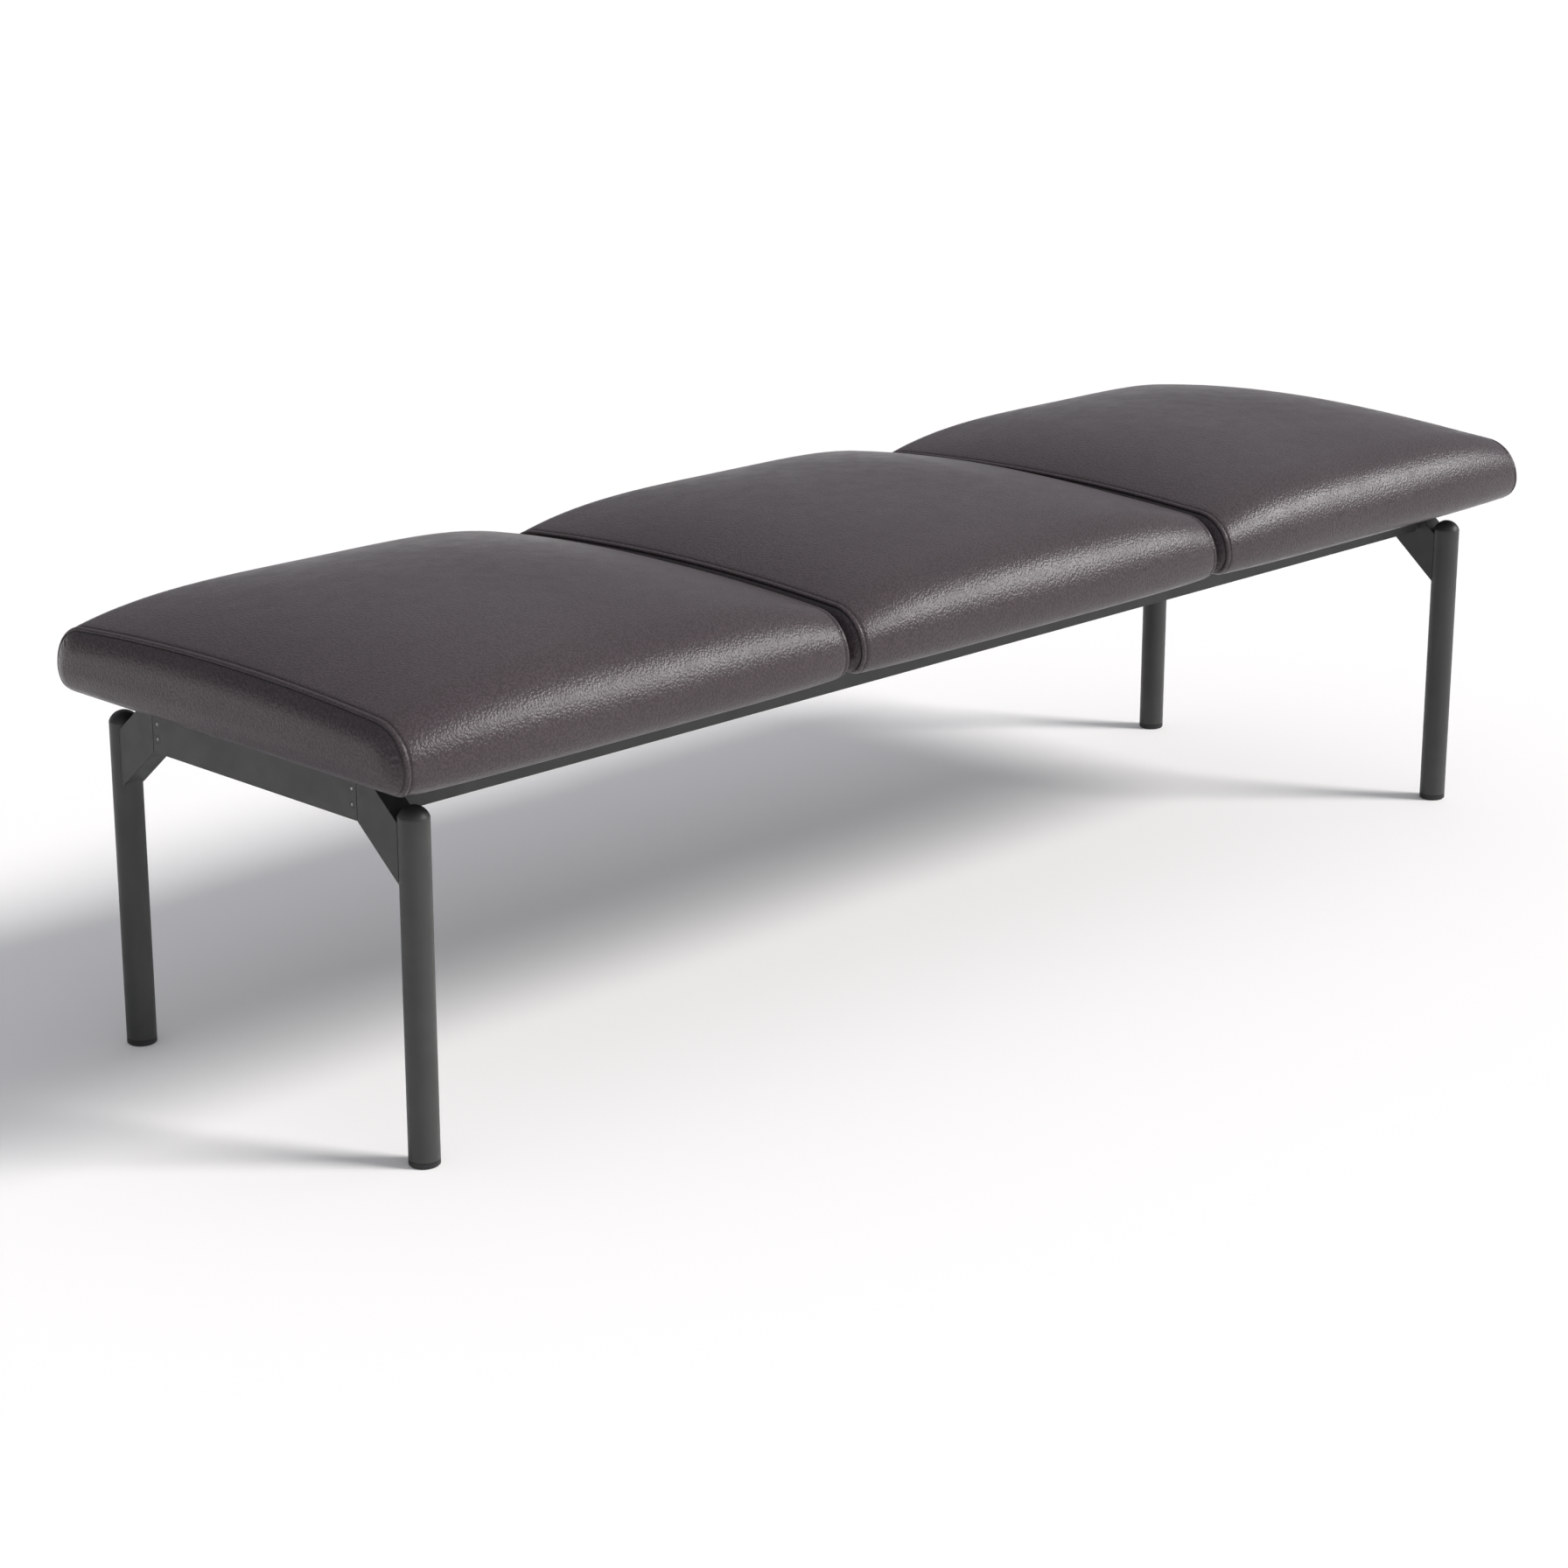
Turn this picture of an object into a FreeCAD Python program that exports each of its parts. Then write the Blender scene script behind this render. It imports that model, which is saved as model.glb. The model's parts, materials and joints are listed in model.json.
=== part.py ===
"""Three-seat waiting room bench: steel leg frame, box rails and three upholstered seats.

Millimetres. Z is up, X runs along the bench, Y runs from the front (negative) to the rear.
The origin is on the floor under the middle of the bench.
"""
import FreeCAD, Part

import math
import os
import re

import Sketcher
from FreeCAD import Placement, Rotation, Vector

DRIVING_SIZES = [
    # Legs and feet
    ("leg_inset_x", 62.5, "leg axes inside the outer ends of the seats"),
    ("leg_inset_y", 45, "leg axes inside the seats' front and rear, before the set-back"),
    ("frame_setback", 15, "leg frame behind the middle of the seats"),
    ("leg_diameter", 30, "outside of the leg tube"),
    ("leg_wall", 2, "wall of the leg tube"),
    ("leg_height", 346, "top of the domed cap above the floor"),
    ("dome_height", 11, "rise of the domed cap"),
    ("cap_spigot", 16, "length of the cap's spigot in the tube"),
    ("glide_height", 6, "height of the glide pad"),
    ("glide_diameter", 30, "outside of the glide pad"),
    ("glide_bevel", 1.5, "bevel around the foot of the pad"),
    ("stud_diameter", 10, "threaded stud of the glide"),
    ("stud_length", 28, "stud above the pad"),
    ("stud_seat", 4, "depth of the stud in the pad"),
    ("insert_length", 20, "threaded insert in the leg's foot"),
    ("running_gap", 0.3, "clearance between pieces that move"),
    ("fit_gap", 0.1, "clearance between pieces that plug together"),
    # End frames
    ("frame_width", 25, "end rail and bracket along the bench"),
    ("frame_wall", 2, "wall of rails and brackets"),
    ("rail_rise", 25, "top of all rails, where the seats lie, above the legs"),
    ("end_rail_height", 52, "height of the end rail"),
    ("bracket_reach", 65, "joint of the end rail from the leg axis"),
    ("joint_gap", 0.8, "shadow gap between end rail and bracket"),
    ("bracket_slope", 40, "slope of the bracket arm in degrees"),
    ("bracket_shoulder", 6, "upright height of the bracket arm beyond the end rail's"),
    ("weld_gap", 0.15, "root gap of the weld between bracket and leg"),
    ("tongue_gap_top", 4, "clearance over the tongue in the bracket"),
    ("tongue_gap_foot", 2, "clearance under the tongue in the end rail"),
    ("tongue_reach", 26, "tongue inside the end rail"),
    ("tongue_root", 18, "tongue inside the bracket"),
    # Countersunk frame screws
    ("screw_diameter", 4, "shank of a frame screw"),
    ("screw_head", 7, "head of a frame screw"),
    ("screw_length", 13, "length of a frame screw"),
    ("screw_socket", 2.5, "hexagon socket across flats"),
    ("screw_socket_depth", 1.4, "depth of the hexagon socket"),
    ("screw_play", 0.2, "radial clearance around a screw"),
    ("screw_edge", 7, "end rail screws from the joint"),
    ("screw_drop", 23, "upper end rail screw below the rail top"),
    ("screw_spacing", 15, "between the two end rail screws"),
    # Long rails
    ("long_rail_height", 40, "height of a long rail"),
    ("long_rail_width", 25, "width of a long rail"),
    ("long_rail_inset", 30, "outer face of a long rail from the leg axis"),
    ("long_rail_bevel", 10, "slanted lower corner at the rail's end"),
    ("stub_length", 45, "stub on the bracket that carries the long rail"),
    ("stub_height", 16, "height of the stub"),
    ("stub_screw_first", 20, "first stub screw from the bracket"),
    ("stub_screw_spacing", 16, "between the two stub screws"),
    # Seats
    ("seat_gap", 1.5, "gap between the end panels of neighbouring seats"),
    ("seat_length", 556, "seat from seam to seam"),
    ("seat_depth", 530, "seat at its ends from front to rear"),
    ("seat_swell", 6, "how far front and rear swell out at mid length"),
    ("end_swell", 8, "how far the end panels swell out"),
    ("end_round", 20, "rounded rim of the end panels"),
    ("seam_height", 79, "top of the end seam above the rails"),
    ("crown_height", 111, "crown of the seat above the rails"),
    ("lower_radius", 25, "rounded lower edge of front and rear"),
    ("shoulder_radius", 45, "rounded upper edge at the seam"),
    ("shoulder_swell", 24, "extra upper edge radius at mid length"),
    ("seam_draw", 1.2, "how far the seam is drawn in"),
    ("seam_band", 8, "raised band beside the seam"),
    ("leather", 1.5, "thickness of the leather"),
    ("foam_gap", 0.4, "clearance between foam and leather"),
    ("turn_under", 25, "leather turned under the board"),
    ("board_thickness", 12, "plywood seat board"),
    ("board_inset", 32, "board edge inside the seat's outline"),
    ("board_corner", 25, "corner radius of the board"),
    ("seat_screw_inset", 118, "seat screws inside the seams"),
    ("seat_screw_diameter", 6, "shank of a seat screw"),
    ("seat_screw_head", 10, "head of a seat screw"),
    ("seat_screw_head_height", 4, "head height of a seat screw"),
    ("seat_screw_play", 0.3, "radial clearance around a seat screw"),
    ("access_hole", 13, "tool hole under a seat screw"),
    ("tee_nut_flange", 18, "flange of a tee nut"),
    ("tee_nut_flange_thickness", 1.2, "flange thickness of a tee nut"),
    ("tee_nut_barrel", 9, "barrel of a tee nut"),
    ("tee_nut_length", 9, "length of a tee nut"),
]

# Crown stations as shares of the half length, and the power of the crown's fall
CROWN_STATIONS = [0.35, 0.6, 0.8, 0.92]
CROWN_POWER = 4

# Turns in degrees at which the rounded rim of an end panel is drawn
RIM_TURNS = [0, 30, 60, 90]

LEGS = {"front_left": (-1, -1), "front_right": (1, -1), "rear_left": (-1, 1), "rear_right": (1, 1)}
SIDES = {"left": -1, "right": 1}
LONG_RAILS = {"front": -1, "rear": 1}
SEATS = {"left": -1, "centre": 0, "right": 1}

ALONG_X = Rotation(Vector(0, 1, 0), 90)
AGAINST_X = Rotation(Vector(0, 1, 0), -90)
DOWNWARD = Rotation(Vector(1, 0, 0), 180)
UPRIGHT = Rotation()

doc = FreeCAD.newDocument("waiting_room_bench")
sheet = doc.addObject("Spreadsheet::Sheet", "sizes")
for row, (alias, number, meaning) in enumerate(DRIVING_SIZES, start=1):
    sheet.set(f"A{row}", meaning)
    sheet.set(f"B{row}", str(number))
    sheet.setAlias(f"B{row}", alias)
doc.recompute()

ALIASES = {alias for alias, _, _ in DRIVING_SIZES}
nodes = []


def formula(text):
    """Point every size name in a formula at its cell of the sheet."""
    def cell(word):
        return f"sizes.{word.group()}" if word.group() in ALIASES else word.group()

    return re.sub(r"[a-z_]+", cell, text)


def value(text):
    """Number that a formula gives now."""
    return float(sheet.evalExpression(formula(text)))


def bind(item, formulas):
    """Bind properties of an object to formulas of the sheet."""
    for prop, text in formulas.items():
        item.setExpression(prop, formula(text))
    return item


def bind_place(item, x, y, z, turn=UPRIGHT):
    """Turn an object and bind its base point."""
    item.Placement = Placement(Vector(), turn)
    return bind(item, {"Placement.Base.x": x, "Placement.Base.y": y, "Placement.Base.z": z})


def node(item, label):
    """Make an object one of the bench's sub-parts."""
    item.Label = label
    nodes.append(item)
    return item


def box(name, size, low):
    """Box with its lowest corner at low."""
    item = doc.addObject("Part::Box", name)
    bind(item, {"Length": size[0], "Width": size[1], "Height": size[2]})
    return bind_place(item, *low)


def cylinder(name, diameter, height, base, turn=UPRIGHT):
    """Cylinder that starts at base and runs along the turned Z axis."""
    item = doc.addObject("Part::Cylinder", name)
    bind(item, {"Radius": f"({diameter}) / 2", "Height": height})
    return bind_place(item, *base, turn)


def cone(name, first, last, height, base, turn=UPRIGHT):
    """Cone from the first to the last diameter."""
    item = doc.addObject("Part::Cone", name)
    bind(item, {"Radius1": f"({first}) / 2", "Radius2": f"({last}) / 2", "Height": height})
    return bind_place(item, *base, turn)


def fuse(name, pieces):
    """Join pieces into one solid."""
    item = doc.addObject("Part::MultiFuse", name)
    item.Shapes = pieces
    item.Refine = True
    return item


def cut(name, base, tools):
    """Take tools away from a base."""
    item = doc.addObject("Part::Cut", name)
    item.Base = base
    item.Tool = tools[0] if len(tools) == 1 else fuse(name + "_tools", tools)
    return item


def group(name, pieces):
    """Keep identical pieces as separate solids of one object."""
    item = doc.addObject("Part::Compound", name)
    item.Links = pieces
    return item


def origin_plane(body, role):
    """One of a body's own origin planes."""
    return next(plane for plane in body.Origin.OriginFeatures if plane.Role == role)


def new_sketch(body, role, name, lift="0"):
    """Sketch on an origin plane of its body, lifted along the plane's normal."""
    sketch = body.newObject("Sketcher::SketchObject", name)
    sketch.AttachmentSupport = (origin_plane(body, role), [""])
    sketch.MapMode = "FlatFace"
    bind(sketch, {"AttachmentOffset.Base.z": lift})
    return sketch


def bind_constraint(sketch, constraint, text):
    """Add a constraint whose value follows a formula."""
    index = sketch.addConstraint(constraint)
    sketch.setExpression(f"Constraints[{index}]", formula(text))


def bind_point(sketch, element, corner, u, v):
    """Hold one point of a sketch at bound coordinates."""
    bind_constraint(sketch, Sketcher.Constraint("DistanceX", -1, 1, element, corner, value(u)), u)
    bind_constraint(sketch, Sketcher.Constraint("DistanceY", -1, 1, element, corner, value(v)), v)


def draw_polygon(sketch, corners):
    """Closed polygon with bound corners."""
    points = [Vector(value(u), value(v), 0) for u, v in corners]
    for start, end in zip(points, points[1:] + points[:1]):
        sketch.addGeometry(Part.LineSegment(start, end), False)
    for side in range(len(points)):
        sketch.addConstraint(Sketcher.Constraint("Coincident", side, 2, (side + 1) % len(points), 1))
    for side, (u, v) in enumerate(corners):
        bind_point(sketch, side, 1, u, v)


def draw_circle(sketch, u, v, diameter):
    """Circle with bound centre and diameter."""
    centre = Vector(value(u), value(v), 0)
    element = sketch.addGeometry(Part.Circle(centre, Vector(0, 0, 1), value(diameter) / 2), False)
    bind_point(sketch, element, 3, u, v)
    bind_constraint(sketch, Sketcher.Constraint("Diameter", element, value(diameter)), diameter)


def pad(body, sketch, name, length):
    """Raise a sketch along its normal."""
    feature = body.newObject("PartDesign::Pad", name)
    feature.Profile = sketch
    bind(feature, {"Length": length})
    doc.recompute()
    return feature


def pocket(body, sketch, name, depth, along_normal=False):
    """Sink a sketch into its body and make sure that it takes material away."""
    before = body.Shape.Volume
    feature = body.newObject("PartDesign::Pocket", name)
    feature.Profile = sketch
    feature.Reversed = along_normal
    bind(feature, {"Length": depth})
    doc.recompute()
    if not body.Shape.Volume < before:
        raise RuntimeError(f"{name} cuts nothing")
    return feature


def plate(name, size, corner, holes, sinks=(), sink_depth=""):
    """Flat board on its body's XY plane, centred, with round holes and counterbores in its top."""
    length, depth, thickness = size
    body = doc.addObject("PartDesign::Body", name)
    outline = new_sketch(body, "XY_Plane", name + "_outline")
    half_length = f"({length}) / 2"
    half_depth = f"({depth}) / 2"
    draw_polygon(outline, [(f"-{half_length}", f"-{half_depth}"), (half_length, f"-{half_depth}"),
                           (half_length, half_depth), (f"-{half_length}", half_depth)])
    slab = pad(body, outline, name + "_slab", thickness)
    if corner:
        upright = [f"Edge{number}" for number, edge in enumerate(slab.Shape.Edges, start=1)
                   if abs(edge.tangentAt(edge.FirstParameter).z) > 0.99]
        rounding = body.newObject("PartDesign::Fillet", name + "_corners")
        rounding.Base = (slab, upright)
        bind(rounding, {"Radius": corner})
        doc.recompute()
    bores = new_sketch(body, "XY_Plane", name + "_bores")
    for u, v, diameter in holes:
        draw_circle(bores, u, v, diameter)
    pocket(body, bores, name + "_through", thickness, along_normal=True)
    if sinks:
        recess = new_sketch(body, "XY_Plane", name + "_recess", lift=thickness)
        for u, v, diameter in sinks:
            draw_circle(recess, u, v, diameter)
        pocket(body, recess, name + "_counterbore", sink_depth)
    return body


# Places that legs, rails and seats share

SEAT_PITCH = "(seat_length + 2 * end_swell + seat_gap)"
LEG_OFF_X = f"({SEAT_PITCH} + seat_length / 2 + end_swell - leg_inset_x)"
LEG_OFF_Y = "(seat_depth / 2 - leg_inset_y)"
RAIL_TOP = "(leg_height + rail_rise)"

# Legs: tube, domed cap, threaded insert and levelling glide

LEG_FOOT = "(glide_height + running_gap)"
DOME_FOOT = "(leg_height - dome_height)"
TUBE_BORE = "(leg_diameter - 2 * leg_wall)"
DOME_RADIUS = "((leg_diameter ^ 2 / 4 + dome_height ^ 2) / (2 * dome_height))"


def leg_axis(signs):
    """Formulas of a leg's axis."""
    return f"{signs[0]} * {LEG_OFF_X}", f"{signs[1]} * {LEG_OFF_Y} + frame_setback"


def make_leg_tube(name, x, y):
    """Round tube from the glide to the foot of the dome."""
    body = doc.addObject("PartDesign::Body", "leg_tube_" + name)
    ring = new_sketch(body, "XY_Plane", f"leg_ring_{name}")
    draw_circle(ring, "0", "0", "leg_diameter")
    draw_circle(ring, "0", "0", TUBE_BORE)
    pad(body, ring, f"leg_length_{name}", f"{DOME_FOOT} - {LEG_FOOT}")
    bind_place(body, x, y, LEG_FOOT)
    return node(body, "leg_tube_" + name)


def make_leg_cap(name, x, y):
    """Spherical cap with a spigot that plugs into the tube."""
    dome = doc.addObject("Part::Sphere", "dome_" + name)
    bind(dome, {"Radius": DOME_RADIUS, "Angle1": f"asin(({DOME_RADIUS} - dome_height) / {DOME_RADIUS})"})
    bind_place(dome, x, y, f"leg_height - {DOME_RADIUS}")
    spigot = cylinder("spigot_" + name, f"{TUBE_BORE} - 2 * fit_gap", "cap_spigot",
                      (x, y, f"{DOME_FOOT} - cap_spigot"))
    return node(fuse("leg_cap_" + name, [dome, spigot]), "leg_cap_" + name)


def make_leg_insert(name, x, y):
    """Plug in the tube's foot with the thread for the glide."""
    plug = cylinder("plug_" + name, f"{TUBE_BORE} - 2 * fit_gap", "insert_length", (x, y, LEG_FOOT))
    bore = cylinder("thread_" + name, "stud_diameter + 2 * running_gap", "insert_length", (x, y, LEG_FOOT))
    return node(cut("leg_insert_" + name, plug, [bore]), "leg_insert_" + name)


def make_glide(name, x, y):
    """Bevelled pad and the threaded stud that is moulded into it."""
    foot = cone("foot_" + name, "glide_diameter - 2 * glide_bevel", "glide_diameter", "glide_bevel",
                (x, y, "0"))
    rim = cylinder("rim_" + name, "glide_diameter", "glide_height - glide_bevel", (x, y, "glide_bevel"))
    seat = cylinder("stud_hole_" + name, "stud_diameter + 2 * fit_gap", "stud_seat",
                    (x, y, "glide_height - stud_seat"))
    node(cut("glide_pad_" + name, fuse("glide_body_" + name, [foot, rim]), [seat]), "glide_pad_" + name)
    stud = cylinder("glide_stud_" + name, "stud_diameter", "stud_length + stud_seat",
                    (x, y, "glide_height - stud_seat"))
    return node(stud, "glide_stud_" + name)


# End frames: sloping brackets, tongues and end rails

JOINT = f"({LEG_OFF_Y} - bracket_reach)"
END_RAIL_FOOT = f"({RAIL_TOP} - end_rail_height)"
SLOPE = "tan(bracket_slope * 1deg)"
SLANT_WALL = "(frame_wall / cos(bracket_slope * 1deg))"
BRACKET_START = f"({JOINT} + joint_gap / 2)"
CAVITY_END = f"({LEG_OFF_Y} - leg_diameter / 2 - frame_wall)"


def lower_edge(y):
    """Height of the bracket's lower edge at a distance from the middle of the end frame."""
    return f"({END_RAIL_FOOT} - ({y} - {JOINT}) * {SLOPE})"


def upper_edge(y):
    """Height of the bracket's upper edge, before the rail top cuts it off."""
    return f"({lower_edge(y)} + end_rail_height + bracket_shoulder)"


BRACKET_TOP_END = f"({JOINT} + bracket_shoulder / {SLOPE})"
CAVITY_TOP_END = f"({BRACKET_TOP_END} - ({SLANT_WALL} - frame_wall) / {SLOPE})"
TONGUE_TOP = f"({upper_edge(f'({JOINT} + tongue_root)')} - {SLANT_WALL} - tongue_gap_top)"
TONGUE_FOOT = f"({END_RAIL_FOOT} + frame_wall + tongue_gap_foot)"


def make_bracket(name, signs, x, y):
    """Hollow sloping arm between the end rail and a leg, with a saddle that fits the leg."""
    body = doc.addObject("PartDesign::Body", "bracket_body_" + name)
    side = new_sketch(body, "YZ_Plane", f"bracket_side_{name}")
    draw_polygon(side, [(BRACKET_START, lower_edge(BRACKET_START)), (LEG_OFF_Y, lower_edge(LEG_OFF_Y)),
                        (LEG_OFF_Y, upper_edge(LEG_OFF_Y)), (BRACKET_TOP_END, RAIL_TOP),
                        (BRACKET_START, RAIL_TOP)])
    pad(body, side, f"bracket_block_{name}", "frame_width")
    hollow = new_sketch(body, "YZ_Plane", f"bracket_hollow_{name}", lift="frame_wall")
    inner_top = f"({RAIL_TOP} - frame_wall)"
    mouth = f"({BRACKET_START} - frame_wall)"
    draw_polygon(hollow, [(mouth, f"{lower_edge(mouth)} + {SLANT_WALL}"),
                          (CAVITY_END, f"{lower_edge(CAVITY_END)} + {SLANT_WALL}"),
                          (CAVITY_END, f"{upper_edge(CAVITY_END)} - {SLANT_WALL}"),
                          (CAVITY_TOP_END, inner_top), (mouth, inner_top)])
    pocket(body, hollow, f"bracket_cavity_{name}", "frame_width - 2 * frame_wall", along_normal=True)
    turn = UPRIGHT if signs[1] > 0 else Rotation(Vector(0, 0, 1), 180)
    bind_place(body, f"{x} - {signs[1]} * frame_width / 2", "frame_setback", "0", turn)
    saddle = cylinder("saddle_" + name, "leg_diameter + 2 * weld_gap", "leg_height", (x, y, "0"))
    return node(cut("corner_bracket_" + name, body, [saddle]), "corner_bracket_" + name)


def screw(name, head_point, turn):
    """Countersunk screw whose flat head lies at head_point and whose shank runs along the turned Z axis."""
    head_height = "((screw_head - screw_diameter) / 2)"
    head = cone("head_" + name, "screw_head", "screw_diameter", head_height, head_point, turn)
    shank = cylinder("shank_" + name, "screw_diameter", "screw_length", head_point, turn)
    socket = doc.addObject("Part::Prism", "socket_" + name)
    socket.Polygon = 6
    bind(socket, {"Circumradius": "screw_socket / sqrt(3)", "Height": "screw_socket_depth"})
    bind_place(socket, *head_point, turn)
    return cut("screw_" + name, fuse("blank_" + name, [head, shank]), [socket])


def screw_holes(name, face_point, turn):
    """Countersink and clearance bore for a screw, long enough to go through its tongue."""
    sink = cone("sink_" + name, "screw_head + 2 * screw_play", "screw_diameter + 2 * screw_play",
                "(screw_head - screw_diameter) / 2", face_point, turn)
    bore = cylinder("bore_" + name, "screw_diameter + 2 * screw_play", "screw_length + frame_wall",
                    face_point, turn)
    return [sink, bore]


def end_screw_points(side):
    """Places of the four screws on the outer face of an end rail, with the two at each tongue together."""
    face = f"{side} * ({LEG_OFF_X} + frame_width / 2)"
    heights = [f"{RAIL_TOP} - screw_drop", f"{RAIL_TOP} - screw_drop - screw_spacing"]
    return {sign: [(face, f"{sign} * ({JOINT} - screw_edge) + frame_setback", height) for height in heights]
            for sign in (-1, 1)}


def make_end_frame(name, side):
    """End rail, the tongues that hold it and its screws."""
    inward = ALONG_X if side < 0 else AGAINST_X
    axis = f"{side} * {LEG_OFF_X}"
    outer = box("end_rail_block_" + name, ("frame_width", f"2 * {JOINT} - joint_gap", "end_rail_height"),
                (f"{axis} - frame_width / 2", f"frame_setback - {JOINT} + joint_gap / 2", END_RAIL_FOOT))
    bore = box("end_rail_bore_" + name,
               ("frame_width - 2 * frame_wall", f"2 * {JOINT}", "end_rail_height - 2 * frame_wall"),
               (f"{axis} - frame_width / 2 + frame_wall", f"frame_setback - {JOINT}",
                f"{END_RAIL_FOOT} + frame_wall"))
    rail_tools = [bore]
    tongues = []
    screws = []
    for sign, points in end_screw_points(side).items():
        label = f"{name}_{'front' if sign < 0 else 'rear'}"
        length = "(tongue_reach + tongue_root)"
        low_y = f"{JOINT} - tongue_reach" if sign > 0 else f"-{JOINT} - tongue_root"
        block = box("tongue_block_" + label,
                    ("frame_width - 2 * frame_wall - 2 * fit_gap", length, f"{TONGUE_TOP} - {TONGUE_FOOT}"),
                    (f"{axis} - frame_width / 2 + frame_wall + fit_gap", f"frame_setback + {low_y}",
                     TONGUE_FOOT))
        tongue_tools = []
        for step, point in enumerate(points):
            rail_tools += screw_holes(f"rail_{label}_{step}", point, inward)
            tongue_tools += screw_holes(f"tongue_{label}_{step}", point, inward)
            screws.append(screw(f"end_{label}_{step}", point, inward))
        tongues.append(cut("tongue_" + label, block, tongue_tools))
    node(cut("end_rail_" + name, outer, rail_tools), "end_rail_" + name)
    node(group("end_rail_tongues_" + name, tongues), "end_rail_tongues_" + name)
    node(group("end_rail_screws_" + name, screws), "end_rail_screws_" + name)


# Long rails: box rails on stubs of the brackets

LONG_RAIL_FOOT = f"({RAIL_TOP} - long_rail_height)"
LONG_RAIL_AXIS = f"({LEG_OFF_Y} - long_rail_inset - long_rail_width / 2)"
BRACKET_INNER_FACE = f"({LEG_OFF_X} - frame_width / 2)"
LONG_RAIL_END = f"({BRACKET_INNER_FACE} - running_gap)"
SEAT_SCREW_OFF = "(seat_length / 2 - seat_screw_inset)"
SEAT_SCREW_X = [f"{seat} * {SEAT_PITCH} + {sign} * {SEAT_SCREW_OFF}"
                for seat in SEATS.values() for sign in (-1, 1)]
SEAT_SCREW_BORE = "(seat_screw_diameter + 2 * seat_screw_play)"


def rail_bevel(name, side, sign):
    """Slanted block that takes the lower corner off one end of a long rail."""
    item = doc.addObject("Part::Box", name)
    size = {"Length": "2 * long_rail_bevel", "Width": "2 * long_rail_width", "Height": "2 * long_rail_bevel"}
    bind(item, size)
    return bind_place(item, f"{side} * {LONG_RAIL_END}",
                      f"frame_setback + {sign} * {LONG_RAIL_AXIS} - long_rail_width",
                      f"{LONG_RAIL_FOOT} + long_rail_bevel - 2 * sqrt(2) * long_rail_bevel",
                      Rotation(Vector(0, 1, 0), -45))


def make_long_rail(name, sign):
    """Box rail with tool holes, seat screw holes and the screwed stubs at its ends."""
    axis_y = f"frame_setback + {sign} * {LONG_RAIL_AXIS}"
    low_y = f"{axis_y} - long_rail_width / 2"
    outer = box("long_rail_block_" + name, (f"2 * {LONG_RAIL_END}", "long_rail_width", "long_rail_height"),
                (f"-{LONG_RAIL_END}", low_y, LONG_RAIL_FOOT))
    bore = box("long_rail_bore_" + name,
               (f"2 * {BRACKET_INNER_FACE}", "long_rail_width - 2 * frame_wall",
                "long_rail_height - 2 * frame_wall"),
               (f"-{BRACKET_INNER_FACE}", f"{low_y} + frame_wall", f"{LONG_RAIL_FOOT} + frame_wall"))
    tools = [bore]
    for index, x in enumerate(SEAT_SCREW_X):
        tools.append(cylinder(f"access_{name}_{index}", "access_hole", "frame_wall",
                              (x, axis_y, LONG_RAIL_FOOT)))
        tools.append(cylinder(f"seat_bore_{name}_{index}", SEAT_SCREW_BORE, "frame_wall",
                              (x, axis_y, f"{RAIL_TOP} - frame_wall")))
    stubs = []
    screws = []
    for side_name, side in SIDES.items():
        label = f"{name}_{side_name}"
        tools.append(rail_bevel("bevel_" + label, side, sign))
        low_x = f"{BRACKET_INNER_FACE} - stub_length" if side > 0 else f"-{BRACKET_INNER_FACE}"
        block = box("stub_block_" + label,
                    ("stub_length", "long_rail_width - 2 * frame_wall - 2 * fit_gap", "stub_height"),
                    (low_x, f"{low_y} + frame_wall + fit_gap", f"{LONG_RAIL_FOOT} + frame_wall + fit_gap"))
        stub_tools = []
        for step in (0, 1):
            inset = f"(stub_screw_first + {step} * stub_screw_spacing)"
            point = (f"{side} * ({BRACKET_INNER_FACE} - {inset})", axis_y, LONG_RAIL_FOOT)
            tools += screw_holes(f"long_{label}_{step}", point, UPRIGHT)
            stub_tools += screw_holes(f"stub_{label}_{step}", point, UPRIGHT)
            screws.append(screw(f"stub_{label}_{step}", point, UPRIGHT))
        stubs.append(cut("stub_" + label, block, stub_tools))
    node(cut("long_rail_" + name, outer, tools), "long_rail_" + name)
    node(group("long_rail_stubs_" + name, stubs), "long_rail_stubs_" + name)
    node(group("long_rail_screws_" + name, screws), "long_rail_screws_" + name)


# Seats: board, fixings, foam, leather and dust cover

BOARD_FOOT = f"({RAIL_TOP} + leather)"
BOARD_LENGTH = "(seat_length - 2 * board_inset)"
BOARD_DEPTH = "(seat_depth - 2 * board_inset)"
SEAT_FIXINGS = [(f"{x_sign} * {SEAT_SCREW_OFF}", f"(frame_setback + {y_sign} * {LONG_RAIL_AXIS})")
                for x_sign in (-1, 1) for y_sign in (-1, 1)]
OPENING_LENGTH = "(seat_length - 2 * turn_under)"
OPENING_DEPTH = "(seat_depth - 2 * lower_radius - 2 * turn_under)"


def arc(first, middle, last):
    """Arc through three points, as an edge."""
    return Part.Arc(first, middle, last).toShape()


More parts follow.
